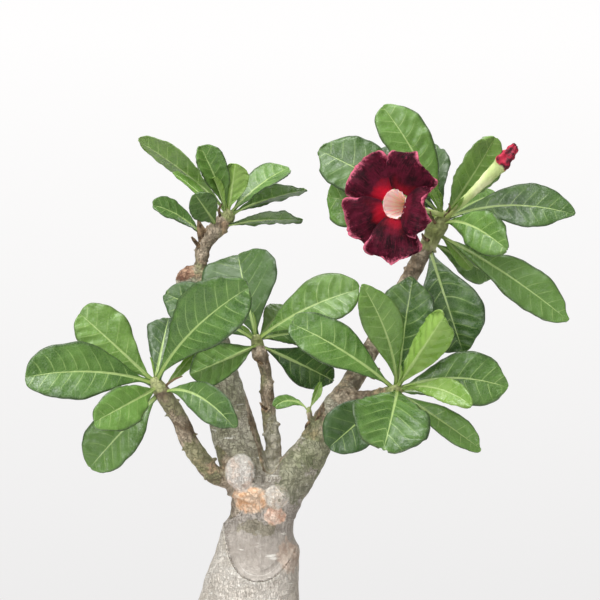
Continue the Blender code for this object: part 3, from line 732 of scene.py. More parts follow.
BLADE_ROWS = 60
BLADE_COLUMNS = 26
WIDEST = 0.66
STALK_SHARE = 0.095
RIB_GROOVE = 0.00035
VEINS_PER_CM = 1.15
FEWEST_VEINS = 7
QUILT = 0.00042
LEAF_BODY = 0.0007
STALK_BODY = 0.0026
RIPPLE = 0.0036
YOUNG_FROM = 0.7  # from this age on, a leaf's slot name is young_leaf
Master = namedtuple("Master", "piece tip")


def outline(t, tip_power):
    """Half-width of a blade at t from stalk (0) to tip (1), as a share of its widest."""
    if t < WIDEST:
        return max(STALK_SHARE, sin(pi / 2 * (t / WIDEST) ** 1.5))
    return max(0.12, sqrt(max(0.0, 1 - ((t - WIDEST) / (1 - WIDEST)) ** tip_power)))


def master_blade(name, tip_power, notch):
    """One flat blade, a unit high and a unit wide, with its rows closer together towards the tip."""
    def half_width(t):
        return outline(t, tip_power)

    piece = drawn_grid(name, BLADE_COLUMNS, BLADE_ROWS, half_width, lambda height: 1 - (1 - height) ** 1.3)
    spans = [min(1.0, 2 * abs(v.co.x) / outline(v.co.z, tip_power)) for v in piece.data.vertices]
    body = piece.vertex_groups.new(name="body")
    free = piece.vertex_groups.new(name="free")
    for vertex, span in zip(piece.data.vertices, spans):
        place = vertex.co
        t = place.z
        stalk = max(0.0, 1 - t / 0.22) ** 1.5
        rib = exp(-((span / 0.10) ** 2)) * (0.45 * (1 - t) + 0.10)
        body.add([vertex.index], min(1.0, max(stalk, rib)), "REPLACE")
        free.add([vertex.index], hold((t - 0.12) * 1.6) * (0.25 + 0.75 * span**1.5), "REPLACE")
        place.z -= 0.10 * max(0.0, (t - 0.72) / 0.28) ** 2 * span**2 * outline(t, tip_power) ** 2
        place.z -= notch * max(0.0, (t - 0.94) / 0.06) ** 2 * max(0.0, 1 - 4 * abs(place.x))
        place.y += RIB_GROOVE * exp(-((span / 0.09) ** 2)) * min(1.0, 4 * t)
    set_attribute(piece, "edge", [float(span) for span in spans])
    crown = max(piece.data.vertices, key=lambda v: v.co.z - 0.2 * abs(v.co.x))
    return Master(piece, crown.index)


def shape_blade(piece, leaf, length, luck):
    """Gives a flat blade its own outline, fold, veins and quilting, and writes what its paint needs."""
    seed = luck.uniform(0, 90)
    tint = luck.uniform(0.0, 1.0)
    fold = radians(leaf.fold * 1.15 + luck.uniform(0, 7))
    crimp = luck.uniform(0.5, 1.4) * min(1.0, leaf.width / 0.03)
    density = max(VEINS_PER_CM, FEWEST_VEINS / (100 * length))
    blade, nature = [], []
    for vertex, edge in zip(piece.data.vertices, piece.data.attributes["edge"].data):
        place, span = vertex.co, edge.value
        t = place.z / length
        side = 1 if place.x > 0 else -1
        grown = min(1.0, 3 * t)
        swell = wave(2.4 * t, 3 * side, seed) * 0.20 + wave(8 * t, 3 * side, seed) * 0.05
        place.x *= 1 + swell * grown
        place.z += wave(place.x / leaf.width * 3.2, 9, seed) * 0.05 * length * max(0.0, t - 0.75) * 4
        off, along = 100 * abs(place.x), 100 * place.z
        wander = 0.5 * wave(place.x * 45, place.z * 28, seed)
        count = density * (along - 0.62 * off**1.2) + (0.5 if side > 0 else 0.0) + wander
        quilt = cos(tau * count) * min(1.0, off / 0.35) * (1 - span**3) * grown
        quilt *= 0.75 + 0.9 * wave(place.x * 60, place.z * 40, seed)
        crepe = wave(place.x * 320, place.z * 320, seed) * 0.00030 * grown
        place.y += QUILT * quilt * leaf.width / 0.035 + crepe
        rim = wave(t * 9, 5 * side, seed) + 0.5 * wave(t * 21, 5 * side, seed)
        place.y += (0.0022 * rim * span**3 + 0.0016 * span**6) * crimp * grown
        place.y -= sin(fold) * (hypot(place.x, 0.0025) - 0.0025)
        place.x *= cos(fold)
        blade.append((off, along, count))
        nature.append((leaf.age, tint, t))
    set_attribute(piece, "blade", blade)
    set_attribute(piece, "nature", nature)


def leaf_frame(turn, lean, roll):
    """(along the midrib, out of the upper face) of a leaf, as unit vectors."""
    turn, lean = radians(turn), radians(lean)
    along = Vector((cos(turn) * cos(lean), -sin(lean), sin(turn) * cos(lean)))
    face = (FRONT - FRONT.dot(along) * along).normalized()
    return along, Matrix.Rotation(radians(roll), 3, along) @ face


def stand(piece, tip, start, end, face):
    """Stands an upright bent piece with its foot at start, its tip vertex at end and its front to face."""
    tip_place = piece.data.vertices[tip].co
    straighten = tip_place.rotation_difference(Vector((0, 0, 1))).to_matrix().to_4x4()
    along = (end - start).normalized()
    face = (face - face.dot(along) * along).normalized()
    turn = Matrix((along.cross(face), -face, along)).transposed().to_4x4()
    stretch = Matrix.Scale((end - start).length / tip_place.length, 4)
    piece.matrix_world = Matrix.Translation(start) @ turn @ straighten @ stretch
    settle(piece)


def make_leaf(name, rosette, plan, masters, materials, ripples, luck):
    lengths = {key: metres(getattr(plan, key)) for key in ("length", "width", "arch", "sway", "drop")}
    leaf = plan._replace(**lengths)
    along, face = leaf_frame(leaf.turn, leaf.lean, leaf.roll)
    axis = Vector(rosette.axis).normalized()
    outward = along - along.dot(axis) * axis
    root = Vector(rosette.tip) - axis * leaf.drop
    end = root + outward * (rosette.stem_radius + STEM_CLEARANCE) + along * leaf.length
    start = root + outward * rosette.stem_radius * STALK_START
    length = (end - start).length
    master = masters["slender" if leaf.width < 0.40 * leaf.length else "broad"]
    piece = copy_of(master.piece, name)
    only(piece)
    bpy.ops.transform.resize(value=(leaf.width * 1.01, 1, length))
    settle(piece)
    shape_blade(piece, leaf, length, luck)
    bend(piece, "Z", -radians(1.2 * leaf.fold + luck.uniform(-12, 12)))
    modify(piece, "SIMPLE_DEFORM", deform_method="TWIST", deform_axis="Z",
           angle=radians(luck.uniform(-14, 14)))
    bend(piece, "X", 8 * leaf.arch / leaf.length)
    bend(piece, "Y", 8 * leaf.sway / leaf.length)
    stand(piece, master.tip, start, end, face)
    small = min(1.0, leaf.length / 0.06)
    for ripple, share in zip(ripples, (1.0, 0.45)):
        modify(piece, "DISPLACE", texture=ripple, texture_coords="GLOBAL", vertex_group="free",
               strength=RIPPLE * share * small, mid_level=0.5)
    modify(piece, "SOLIDIFY", thickness=STALK_BODY * max(0.45, small), offset=-1, vertex_group="body",
           thickness_vertex_group=LEAF_BODY / STALK_BODY, material_offset=1, material_offset_rim=1)
    smooth(piece)
    node = name.replace("blade", "leaf", 1)
    slot = "young_leaf" if leaf.age >= YOUNG_FROM else "leaf"
    finish_piece(piece, slot, *materials, stands_for=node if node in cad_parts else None)


def make_leaves():
    luck = random.Random(7)
    masters = {
        "broad": master_blade("broad_blade", 2.5, 0.016),
        "slender": master_blade("slender_blade", 2.0, -0.010),
    }
    ripples = []
    for scale in (0.022, 0.009):
        ripple = bpy.data.textures.new(f"ripple_{len(ripples)}", "CLOUDS")
        ripple.noise_scale = scale
        ripple.noise_depth = 1
        ripples.append(ripple)
    materials = leaf_paint("leaf_upper_skin", True), leaf_paint("leaf_under_skin", False)
    for prefix, table in (("blade", LEAF_PLANS), ("bud_blade", BUD_PLANS)):
        for rosette, plans in table.items():
            for number, plan in plans.items() if prefix == "bud_blade" else enumerate(plans, 1):
                name = f"{prefix}_{rosette}_{number}"
                make_leaf(name, ROSETTES[rosette], plan, masters, materials, ripples, luck)
    for master in masters.values():
        bpy.data.objects.remove(master.piece)


# ---------------------------------------------------------------- wood

WOOD_VOXEL = 0.0010
GRAFT_X = 0.010
GRAFT_LOWEST_Z = 0.182
GRAFT_HALF_WIDTH = 0.030
GRAFT_SEAM = 0.00006
SEAM_LEFT = (20.5, 36400)  # how the seam rises with the square and the fourth power of the way off its middle
SEAM_RIGHT = (28.0, 9000)
GRAFT_STEPS = 28
CUTTER_REACH = 0.4


def seam_height(off):
    """The seam is a U seen from the front: flat below, steep at its left and easier at its right."""
    square, fourth = SEAM_LEFT if off < 0 else SEAM_RIGHT
    return GRAFT_LOWEST_Z + square * off**2 + fourth * off**4


def seam_slope(off):
    square, fourth = SEAM_LEFT if off < 0 else SEAM_RIGHT
    return 2 * square * off + 4 * fourth * off**3


GRAFT_SHOULDER = seam_height(-GRAFT_HALF_WIDTH)
LUMPS = metres([  # centre, radii: grown-over cuts, collars and shoulders on the trunk
    ((-3.5, -13, 257), (10.8, 9.8, 13)),
    ((4, -14, 237.5), (14, 12.5, 10)),
    ((22.3, -14, 239.3), (8.8, 12.5, 7.8)),
    ((21, -14, 227), (8, 11.5, 6.6)),
    ((29, 0, 233), (10.5, 15, 19)),
    ((-16, -5, 251.5), (7.5, 8, 6.2)),
    ((-38, 19.5, 389.5), (11.8, 10.5, 11.2)),
    ((-31, 22, 408), (5.5, 5, 4.5)),
    ((-28, 21.5, 418), (6, 5.2, 4.8)),
    ((10, -0.8, 338), (5.8, 5.5, 5.2)),
    ((90, 3, 325), (4.5, 4.5, 4)),
    ((133, 9, 426), (7.8, 7, 6)),
])
SCAR_STEMS = ["upper_left", "lower_left", "middle", "upper_right", "lower_right"]
CRUSTED_LUMPS = [LUMPS[0], LUMPS[2], LUMPS[6]]
SCAR_SPACING = 0.0052


def add_ball(centre, radii, steps=2):
    bpy.ops.mesh.primitive_ico_sphere_add(subdivisions=steps + 1, radius=1, location=centre, scale=radii)
    return bpy.context.object


def graft_block(name, raise_by):
    """Everything above the graft's notch: the seam's outline, drawn in front and extruded to the back."""
    seam = [GRAFT_HALF_WIDTH * (2 * i / GRAFT_STEPS - 1) for i in range(GRAFT_STEPS + 1)]
    drawn = [(GRAFT_X + x, seam_height(x) + raise_by) for x in seam]
    level, top = GRAFT_SHOULDER + raise_by, GRAFT_SHOULDER + CUTTER_REACH
    drawn += [(CUTTER_REACH, drawn[-1][1]), (CUTTER_REACH, top), (-CUTTER_REACH, top), (-CUTTER_REACH, level)]
    mesh = bpy.data.meshes.new(name)
    mesh.from_pydata([(x, -CUTTER_REACH, z) for x, z in drawn], [], [range(len(drawn))])
    piece = bpy.data.objects.new(name, mesh)
    SCENE.collection.objects.link(piece)
    edit(piece)
    bpy.ops.mesh.select_all(action="SELECT")
    bpy.ops.mesh.extrude_region_move(TRANSFORM_OT_translate={"value": (0, 2 * CUTTER_REACH, 0)})
    bpy.ops.mesh.select_all(action="SELECT")
    bpy.ops.mesh.normals_make_consistent(inside=False)
    done()
    return piece


def cut(piece, tool, operation):
    modify(piece, "BOOLEAN", operation=operation, object=tool, solver="EXACT")
    bpy.data.objects.remove(tool)


def scars(luck):
    """Small raised leaf scars that wind up the thin stems, three to about two turns."""
    made = []
    for stem in SCAR_STEMS:
        knots = [Vector(point) for point in LIMBS[stem]]
        turn = luck.uniform(0, 6)
        for low, high in zip(knots, knots[1:]):
            reach = (high - low).to_3d()
            count = max(1, round(reach.length / SCAR_SPACING))
            for i in range(count):
                turn += 2.4 + luck.uniform(-0.3, 0.3)
                middle = low.lerp(high, (i + 0.5) / count)
                side = reach.normalized().orthogonal()
                side.rotate(Matrix.Rotation(turn, 3, reach.normalized()))
                size = luck.uniform(0.0012, 0.0022)
                made.append(add_ball(middle.to_3d() + side * middle[3] * 0.86, (size, size, size * 0.7), 0))
    return made


def weather(piece):
    """Works the bark's own relief into the mesh: swellings, upright wrinkles, and the graft's ridges."""
    tree = KDTree(sum(len(points) * 8 for points in [TRUNK, *LIMBS.values()]))
    girths = []
    for points in [TRUNK, *LIMBS.values()]:
        knots = [Vector(point) for point in points]
        for low, high in zip(knots, knots[1:]):
            for i in range(8):
                knot = low.lerp(high, i / 8)
                tree.insert(knot.to_3d(), len(girths))
                girths.append(knot[3])
    tree.balance()
    girth_here, heights, moves = [], [], []
    for vertex in piece.data.vertices:
        place = vertex.co
        girth = min(girths[index] for _, index, far in tree.find_n(place, 3))
        girth_here.append(girth)
        thick = min(1.0, girth / 0.02)
        swell = noise.noise(place * 45) * 0.0011 * (0.4 + thick)
        wrinkle = wave(place.x * 330, place.y * 330, place.z * 95) * 0.00040
        crumple = noise.noise(place * 210) * 0.00035
        rings = wave(place.x * 20, place.y * 20, place.z * 320) * 0.00045 * (1.2 - thick)
        off = place.x - GRAFT_X
        above = (place.z - seam_height(off)) / hypot(1, seam_slope(off))
        above = max(above, place.z - (GRAFT_SHOULDER if off < 0 else seam_height(GRAFT_HALF_WIDTH)))
        heights.append(above)
        seam = 0.0
        if place.z < 0.240:
            seam = 0.0009 * exp(-((above + 0.0014) / 0.0028) ** 2)
            if off < 0:
                seam -= 0.0034 * hold((place.z - 0.185) / 0.030)
            if above > 0:
                waist = (0.0012 + 0.0018 * min(1.0, abs(off) / 0.026)) * min(1.0, above / 0.004)
                seam -= waist * hold((0.240 - place.z) / 0.014)
                seam += 0.00035 * cos(above / ARC_SPACING * 2 * pi) * exp(-above / 0.009)
        crust = 0.0
        for centre, radii in CRUSTED_LUMPS:
            wide, _, tall = radii
            far = dist((place.x / wide, place.z / tall), (centre[0] / wide, centre[2] / tall))
            if place.y < centre[1] + 0.004 and far < 1.3:
                crust = max(crust, min(1.0, (1.3 - far) / 0.3))
        pitted = abs(noise.noise(place * 420)) * 0.0009 + noise.noise(place * 200) * 0.0008
        moves.append(vertex.normal * (swell + wrinkle + crumple + rings + seam + crust * pitted))
    move_vertices(piece, moves)
    set_attribute(piece, "girth", [float(girth) for girth in girth_here])
    set_attribute(piece, "above", [float(above) for above in heights])


def make_wood():
    luck = random.Random(11)
    trunk = rod("wood", TRUNK, 14)
    trunk.scale = (1, TRUNK_DEPTH_SHARE, 1)
    settle(trunk)
    parts = [trunk] + [rod(name, points, 8) for name, points in LIMBS.items()]
    parts += [add_ball(centre, radii) for centre, radii in LUMPS] + scars(luck)
    wood = join(parts, "wood")
    settle(wood)
    modify(wood, "REMESH", mode="VOXEL", voxel_size=WOOD_VOXEL)
    modify(wood, "SMOOTH", factor=0.5, iterations=4)
    weather(wood)
    rootstock = copy_of(wood, "rootstock_bark")
    cut(rootstock, graft_block("notch", 0.0), "DIFFERENCE")
    wood.name = "grafted_limbs_bark"
    cut(wood, graft_block("seat", 2 * GRAFT_SEAM), "INTERSECT")
    bark = bark_paint()
    for piece, node in ((rootstock, "rootstock"), (wood, "grafted_limbs")):
        smooth(piece)
        finish_piece(piece, "bark", bark, stands_for=node)


# ---------------------------------------------------------------- pot and soil

POT_SIDES = 96
POT_FOOT = 0.070
POT_BASE = 0.004  # the slab that the pot's wall is drawn up from
POT_BAND = 0.024  # the rim's proud band: its height, and how far it stands out
POT_PROUD = 0.005
POT_WALL = 0.007
DRAIN_HOLES = 4
DRAIN_CIRCLE = 0.036
DRAIN_RADIUS = 0.005
SOIL_FOOT = 0.0622
SOIL_GAP = 0.0003
SOIL_RINGS = 30
GRIT_COUNT = 420


def step_up(rise, share):
    """In edit mode, extrudes the selected top face up by rise and draws it in or out to this share."""
    bpy.ops.mesh.extrude_region_move(TRANSFORM_OT_translate={"value": (0, 0, rise)})
    bpy.ops.transform.resize(value=(share, share, 1), center_override=(0, 0, 0))


def make_pot():
    rim, _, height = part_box("pot")[1]
    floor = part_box("soil")[0][2] - SOIL_GAP
    bpy.ops.mesh.primitive_cylinder_add(
        vertices=POT_SIDES, radius=POT_FOOT, depth=POT_BASE, location=(0, 0, POT_BASE / 2)
    )
    pot = named("clay_pot")
    settle(pot)
    edit(pot)
    pick_top_face(pot)
    neck, inner_rim, inner_foot = rim - POT_PROUD, rim - POT_WALL, POT_FOOT - POT_WALL
    for rise, share in (
        (height - POT_BAND - POT_BASE, neck / POT_FOOT), (0.0, rim / neck), (POT_BAND, 1.0),
        (0.0, inner_rim / rim), (floor - height, inner_foot / inner_rim),
    ):
        step_up(rise, share)
    done()
    modify(pot, "BEVEL", width=0.0016, segments=3, limit_method="ANGLE", angle_limit=radians(35))
    for k in range(DRAIN_HOLES):
        angle = tau / DRAIN_HOLES * (k + 0.5)
        place = (DRAIN_CIRCLE * cos(angle), DRAIN_CIRCLE * sin(angle), 0)
        bpy.ops.mesh.primitive_cylinder_add(vertices=24, radius=DRAIN_RADIUS, depth=0.04, location=place)
        cut(pot, named(f"drill_{k}"), "DIFFERENCE")
    smooth(pot, 30)
    finish_piece(pot, "clay", clay_paint(), stands_for="pot")


def make_soil():
    low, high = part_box("soil")
    top = high[0]
    bpy.ops.mesh.primitive_cylinder_add(
        vertices=POT_SIDES, radius=SOIL_FOOT, depth=0.002, location=(0, 0, low[2] + 0.001)
    )
    soil = named("potting_mix")
    settle(soil)
    edit(soil)
    pick_top_face(soil)
    step_up(high[2] - low[2] - 0.002, top / SOIL_FOOT)
    for _ in range(SOIL_RINGS):
        bpy.ops.mesh.inset(thickness=0.0016, depth=0)
    done()
    for vertex in soil.data.vertices:
        place = vertex.co
        if place.z > high[2] - 0.001 and place.to_2d().length < top - 0.001:
            crumb = noise.noise(place * 160) * 0.0012 + noise.noise(place * 420) * 0.0007
            mound = 0.0022 * exp(-((place.to_2d().length - 0.055) / 0.012) ** 2)
            place.z += crumb + mound - 0.0008
    smooth(soil, 50)
    finish_piece(soil, "soil", soil_paint(), stands_for="soil")
    make_grit(high[2], top)


def make_grit(level, reach):
    """Loose stones on the soil, one shape copied, turned and scaled."""
    luck = random.Random(5)
    bpy.ops.mesh.primitive_ico_sphere_add(subdivisions=1, radius=1)
    stone = named("stone")
    edit(stone)
    bpy.ops.mesh.select_all(action="SELECT")
    bpy.ops.mesh.bevel(offset=0.22, segments=1)
    done()
    made, tones = [], []
    while len(made) < GRIT_COUNT:
        turn, far = luck.uniform(0, tau), sqrt(luck.uniform(0.052**2, (reach - 0.003) ** 2))
        size = luck.uniform(0.0010, 0.0028)
        piece = copy_of(stone, "stone_copy")
        piece.location = (far * cos(turn), far * sin(turn), level + luck.uniform(0.0002, 0.0016))
        piece.rotation_euler = [luck.uniform(0, 6) for _ in range(3)]
        piece.scale = [size * luck.uniform(0.6, 1.1) for _ in range(3)]
        tones += [luck.random()] * len(piece.data.vertices)
        made.append(piece)
    bpy.data.objects.remove(stone)
    grit = join(made, "grit_on_soil")
    settle(grit)
    set_attribute(grit, "tone", tones)
    finish_piece(grit, "soil", grit_paint())


# ---------------------------------------------------------------- flower

FLOWER_CENTRE = Vector((0.1035, -0.044, 0.4420))
FLOWER_FACING = Vector((-0.36, -0.93, 0.02)).normalized()
THROAT_RADIUS = 0.0090
THROAT_WIDE = 0.88
THROAT_TALL = 1.06
TUBE_LENGTH = 0.036
FUNNEL_RIBS = 14
# turn round the mouth; pitch tucks one edge under its neighbour, and rise leans the lobe forward; layer 0
# lies lowest; glow is its red heart; corner is the share across at which the lobe reaches furthest, and point
# how sharply it falls away from there
Petal = namedtuple("Petal", "name turn length width pitch rise layer curl glow corner point")
PETALS = [
    Petal("petal_right", -20, 0.0240, 0.039, 0, 15, 3, 0.35, 0.12, 0.35, 0.30),
    Petal("petal_upper_right", 62, 0.0305, 0.039, 12, 8, 1, 0.25, 0.40, -0.40, 0.26),
    Petal("petal_upper_left", 139, 0.0315, 0.043, 0, 0, 0, 0.25, 1.00, 0.10, 0.05),
    Petal("petal_lower_left", 205, 0.0305, 0.038, -18, 6, 1, 0.35, 0.90, 0.00, 0.10),
    Petal("petal_bottom", 270, 0.0335, 0.037, -18, 12, 2, 0.35, 0.55, 0.05, 0.18),
]
PETAL_LAYER = 0.0005
PETAL_ROWS = 44
PETAL_COLUMNS = 56


def petal_outline(t):
    """Half-width of a petal at t from the throat (0) to its end (1), as a share of its widest."""
    base = 0.40 + 0.60 * sin(pi / 2 * min(1.0, t / 0.62))
    return base * sqrt(1 - 0.80 * max(0.0, (t - 0.70) / 0.30) ** 2.2)


def master_petal():
    piece = drawn_grid("one_petal", PETAL_COLUMNS, PETAL_ROWS, petal_outline)
    lobe = []
    for vertex in piece.data.vertices:
        place = vertex.co
        t = place.z
        span = 2 * place.x / petal_outline(t)
        place.z -= 0.11 * t**4 * span**2
        end = max(0.0, (t - 0.45) / 0.55)
        side = abs(span) ** 2 * min(1.0, t * 2.2)
        lobe.append((t, span, min(1.0, max(end**1.6, side**1.7))))
    set_attribute(piece, "lobe", lobe)
    return piece


def frill(piece, petal, luck):
    """Crimps the rim, and lets the blade wave, in the petal's own frame."""
    lobe = piece.data.attributes["lobe"].data
    shift = Vector((luck.uniform(0, 9), luck.uniform(0, 9), luck.uniform(0, 9)))
    for vertex, where in zip(piece.data.vertices, lobe):
        t, span, rim = where.vector
        place = vertex.co
        flat = Vector((place.x, 0, place.z))
        billow = noise.noise(flat * 80 + shift) * 0.0085 * max(rim, 0.35 * t)
        crimp = noise.noise(flat * 330 + shift) * 0.0016 * rim**2
        crimp += noise.noise(flat * 750 + shift) * 0.0007 * rim**3
        ribs = 0.00030 * sin(span * 20) * t
        place.y += billow + crimp + ribs + 0.0022 * rim**5
        place.z *= 1 - petal.point * abs(span - petal.corner) * t**3
        place.z += noise.noise(Vector((place.x * 110, 5, 0)) + shift) * 0.0042 * rim**2 * t
        place.z += noise.noise(Vector((place.x * 420, 5, 0)) + shift) * 0.0009 * rim**2 * t
        sides = noise.noise(Vector((copysign(4, span), 7, place.z * 90)) + shift)
        place.x *= 1 + sides * 0.18 * min(1.0, 2 * t)


def make_petals():
    luck = random.Random(3)
    master = master_petal()
    velvet = petal_paint()
    for petal in PETALS:
        radial, _ = leaf_frame(petal.turn, 0, 0)
        along = (radial - radial.dot(FLOWER_FACING) * FLOWER_FACING).normalized()
        across = FLOWER_FACING.cross(along)
        turn = radians(petal.turn)
        mouth = THROAT_RADIUS * hypot(THROAT_WIDE * cos(turn), THROAT_TALL * sin(turn))
        lap = 0.82 if petal.layer == 3 else 0.98  # the uppermost petal laps over the throat's rim
        base = FLOWER_CENTRE + along * mouth * lap + FLOWER_FACING * petal.layer * PETAL_LAYER
        rise = Matrix.Rotation(-radians(petal.rise), 3, across)
        along, face = rise @ along, rise @ FLOWER_FACING
        face = Matrix.Rotation(radians(petal.pitch), 3, along) @ face
        piece = copy_of(master, petal.name.replace("petal", "velvet_petal"))
        only(piece)
        bpy.ops.transform.resize(value=(petal.width, 1, petal.length + THROAT_RADIUS * 0.12))
        settle(piece)
        frill(piece, petal, luck)
        bend(piece, "Z", radians(20))
        bend(piece, "X", petal.curl)
        crown = max(piece.data.vertices, key=lambda v: v.co.z - 0.2 * abs(v.co.x))
        stand(piece, crown.index, base, base + along * petal.length, face)
        set_attribute(piece, "glow", [petal.glow] * len(piece.data.vertices))
        modify(piece, "SOLIDIFY", thickness=0.0007, offset=0)
        modify(piece, "SUBSURF", levels=1, render_levels=1)
        smooth(piece)
        finish_piece(piece, "petal", velvet, stands_for=petal.name)
    bpy.data.objects.remove(master)


def make_throat():
    """The ribbed funnel: a ring extruded back step by step, given a wall, ribbed and set in its place."""
    steps = [(0.0, 1.03), (0.0005, 1.01), (0.0015, 0.98), (0.003, 0.93), (0.006, 0.86), (0.010, 0.74),
             (0.015, 0.60), (0.022, 0.42), (0.030, 0.28), (TUBE_LENGTH, 0.25)]
    bpy.ops.mesh.primitive_circle_add(vertices=FUNNEL_RIBS * 8, radius=THROAT_RADIUS * steps[0][1])
    piece = named("ribbed_throat")
    edit(piece)
    bpy.ops.mesh.select_all(action="SELECT")
    for (depth, share), (next_depth, next_share) in zip(steps, steps[1:]):
        bpy.ops.mesh.extrude_region_move(TRANSFORM_OT_translate={"value": (0, 0, depth - next_depth)})
        ratio = next_share / share
        bpy.ops.transform.resize(value=(ratio, ratio, 1), center_override=(0, 0, 0))
    bpy.ops.mesh.select_all(action="SELECT")
    bpy.ops.mesh.normals_make_consistent(inside=True)
    done()
    modify(piece, "SUBSURF", levels=1, render_levels=1)
    turn_to_facing = FLOWER_FACING.to_track_quat("Z", "Y").to_matrix()
    down = turn_to_facing.inverted() @ Vector((0.8, 0, -1))
    down_turn = atan2(down.y, down.x)
    funnel = []
    for vertex in piece.data.vertices:
        place = vertex.co
        turn = atan2(place.y, place.x)
        depth = -place.z / TUBE_LENGTH
        ribs = 1 + 0.030 * cos(turn * FUNNEL_RIBS) * (1 - depth)
        funnel.append((turn / tau, depth, 0.5 + 0.5 * cos(turn - down_turn)))
        place.x *= ribs
        place.y *= ribs
        if depth < 0.05:
            place.z -= 0.0006 * cos(turn * FUNNEL_RIBS) * (1 - depth / 0.05)
    set_attribute(piece, "funnel", funnel)
    modify(piece, "SOLIDIFY", thickness=0.00035, offset=-1)
    mouth = FLOWER_CENTRE + FLOWER_FACING * 0.0024
    oval = Matrix.Diagonal((THROAT_WIDE, THROAT_TALL, 1, 1))
    piece.matrix_world = Matrix.Translation(mouth) @ turn_to_facing.to_4x4() @ oval
    settle(piece)
    smooth(piece)
    finish_piece(piece, "throat", throat_paint(), stands_for="flower_tube")


def make_flower_stalk():
    top = FLOWER_CENTRE - FLOWER_FACING * (TUBE_LENGTH - 0.001)
    foot = top - FLOWER_FACING * 0.012
    stem = Vector(ROSETTES["upper_right"].tip) + Vector((-0.001, -0.004, 0.001))
    stalk = rod("stalk_and_calyx", [
        (*top, 0.0030),
        (*top.lerp(foot, 0.30), 0.0033),
        (*top.lerp(foot, 0.75), 0.0028),
        (*foot, 0.0018),
        (*foot.lerp(stem, 0.5), 0.0017),
        (*stem, 0.0019),
    ], 5)
    green = stalk_paint()
    smooth(stalk)
    finish_piece(stalk, "calyx", green, stands_for="flower_stalk")


SPENT_BUD = metres([
    (141, 4, 434.5, 1.6), (145.5, -1, 439, 2), (150, -4, 443.5, 2.6), (158, -8, 451, 2.9),
    (166, -12, 459, 3.7), (175, -15, 468, 4.9), (179, -17, 472, 5.6), (182.5, -18, 476.5, 4.6),
    (185.5, -19, 481, 3), (187.3, -20, 483.8, 1.7),
])
BUD_FOLDS = 5


def make_spent_bud():
    """A limp tube that ends in petals twisted shut and dried."""
    bud = rod("spent_bud_petals", SPENT_BUD, 9)
    modify(bud, "SUBSURF", levels=1, render_levels=1)
    low, high = Vector(SPENT_BUD[0][:3]), Vector(SPENT_BUD[-1][:3])
    axis = (high - low).normalized()
    side = axis.orthogonal().normalized()
    reach, moves = [], []
    for vertex in bud.data.vertices:
        place = vertex.co
        share = hold((place - low).dot(high - low) / (high - low).length_squared)
        reach.append(float(share))
        out = place - low - axis * (place - low).dot(axis)
        turn = atan2(out.dot(axis.cross(side)), out.dot(side))
        shut = hold((share - 0.74) / 0.05)
        folds = cos(BUD_FOLDS * turn + 9 * share) * 0.0012 * shut * (1.15 - share) / 0.4
        crumple = noise.noise(place * 300) * 0.0016 * shut
        flute = wave(place.x * 420, place.y * 420, place.z * 60) * 0.0005
        moves.append(vertex.normal * (folds + crumple + flute))
    move_vertices(bud, moves)
    set_attribute(bud, "reach", reach)
    smooth(bud)
    finish_piece(bud, "spent_bud", spent_bud_paint(), stands_for="spent_bud")


# ---------------------------------------------------------------- stubs of withered stalks

STUBS = metres([  # start, bend, end, radius
    ((-30, 22, 415), (-32.5, 20, 425), (-33.5, 19, 433), 2.6),
    ((-33, 20, 414), (-37, 17, 419), (-38.5, 16, 421), 1.3),
    ((-27, 21, 422), (-33, 18, 431), (-34.5, 17, 434), 1.1),
    ((-18, 23, 433), (-19, 19, 441), (-17, 18, 445), 0.9),
    ((-54, -26, 311), (-48, -28, 315), (-42, -30, 315.5), 0.9),
    ((-57, -28, 315), (-50, -31, 321), (-43, -33, 324), 0.8),
    ((15, -2, 329), (10, -5, 333), (6, -7, 335), 1),
    ((16, -1, 300), (12, -6, 302), (10, -8, 305), 1),
    ((84, 1, 330), (90, -4, 327), (93.5, -6, 328.5), 1.8),
    ((134, 6, 429), (130, 1, 435), (129, -1, 439), 0.9),
    ((140, 5, 435), (143, -1, 440), (142, -3, 444), 0.9),
    ((130, 8, 418), (125, 3, 420), (123.5, 1, 423), 1.2),
    ((46, -10, 293), (42.5, -12, 289.5), (41.5, -12, 287), 0.9),
    ((48, -10, 291), (51, -13, 296), (52, -14, 300), 0.8),
])


def make_stubs():
    """Dry remains of fallen stalks, all one piece."""
    p = Paint("dry_stub", 0.85, 0.2)
    colour = p.blend(p.noise(300, 4.0), 0.35, 0.65, (0.045, 0.028, 0.018), (0.26, 0.18, 0.105))
    dry = p.finish(colour, p.noise(700, 3.0), 0.7, 0.0006)
    made = []
    for start, middle, end, radius in STUBS:
        made.append(rod("stub", [(*start, radius * 1.3), (*middle, radius), (*end, radius * 0.5)], 3))
    stubs = join(made, "withered_stubs")
    smooth(stubs, 60)
    finish_piece(stubs, "bark", dry)


# ---------------------------------------------------------------- studio

CAMERA_PLACE = (0.0380, -2.0, 0.3765)
CAMERA_LENS = 171.4
PLANT_MIDDLE = Vector((0.03, 0, 0.35))


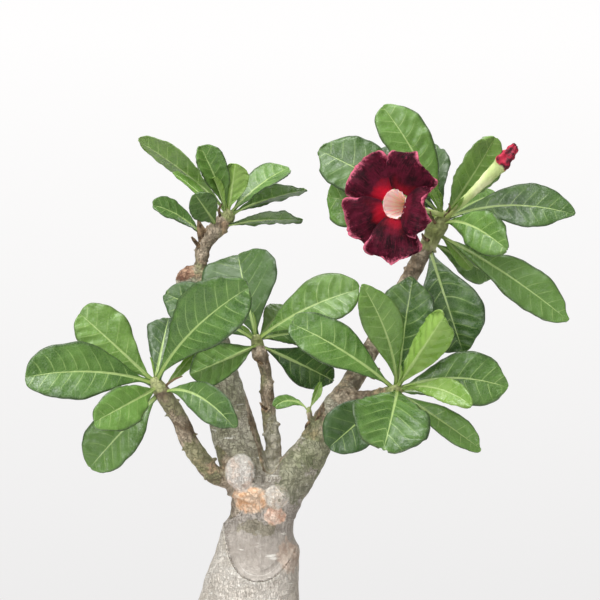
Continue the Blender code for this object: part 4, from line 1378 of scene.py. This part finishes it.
def make_room():
    """What is seen behind the plant is brighter than what lights it, so that its shadows show."""
    world = bpy.data.worlds.new("pale_room")
    nodes = Nodes(world)
    height = nodes.split(nodes.add("TexCoord").outputs["Generated"])[2]
    lit, seen = nodes.tree.nodes["Background"], nodes.add("Background")
    for background, low, high, dim, bright, colour in (
        (lit, -0.5, 0.8, 0.26, 0.60, (1.0, 0.995, 0.985, 1)),
        (seen, -0.12, 0.09, 0.84, 1.0, (1.0, 0.992, 0.990, 1)),
    ):
        nodes.plug(nodes.range(height, low, high, dim, bright, "LINEAR"), background.inputs["Strength"])
        nodes.plug(colour, background.inputs["Color"])
    ray = nodes.add("LightPath").outputs["Is Camera Ray"]
    both = nodes.add("MixShader", {0: ray, 1: lit.outputs[0], 2: seen.outputs[0]})
    nodes.plug(both.outputs[0], nodes.tree.nodes["World Output"].inputs["Surface"])
    SCENE.world = world


def make_studio():
    SCENE.view_settings.view_transform = "Standard"
    make_room()
    bpy.ops.mesh.primitive_circle_add(vertices=96, radius=2, fill_type="NGON")
    floor = named("pale_floor")
    p = Paint("pale_floor", 0.7, 0.1)
    far = p.vector("LENGTH", p.place)["Value"]
    p.finish(p.mix(p.noise(3.0, 2.0), (0.80, 0.795, 0.79), (0.84, 0.835, 0.83)))
    clear = p.add("BsdfTransparent").outputs[0]
    fade = p.add("MixShader", {0: p.range(far, 0.45, 1.5), 1: p.shader.outputs[0], 2: clear})
    p.plug(fade.outputs[0], p.tree.nodes["Material Output"].inputs["Surface"])
    floor.data.materials.append(p.material)
    for name, place, size, watts in (
        ("overhead_softbox", (-0.45, -0.5, 1.9), 1.1, 36),
        ("front_softbox", (-0.9, -2.0, 1.1), 1.0, 21),
        ("back_light", (0.6, 1.5, 1.6), 1.2, 10),
    ):
        bpy.ops.object.light_add(type="AREA", location=place)
        light = bpy.context.object
        light.name = name
        light.data.size = size
        light.data.energy = watts
        light.rotation_euler = (PLANT_MIDDLE - Vector(place)).to_track_quat("-Z", "Y").to_euler()
    camera = bpy.data.cameras.new("camera")
    camera.lens = CAMERA_LENS
    camera.sensor_width = 36
    stand_at = bpy.data.objects.new("camera", camera)
    stand_at.location = CAMERA_PLACE
    stand_at.rotation_euler = (pi / 2, 0, 0)
    SCENE.collection.objects.link(stand_at)
    SCENE.camera = stand_at


make_studio()
make_pot()
make_soil()
make_wood()
make_leaves()
make_petals()
make_throat()
make_flower_stalk()
make_spent_bud()
make_stubs()
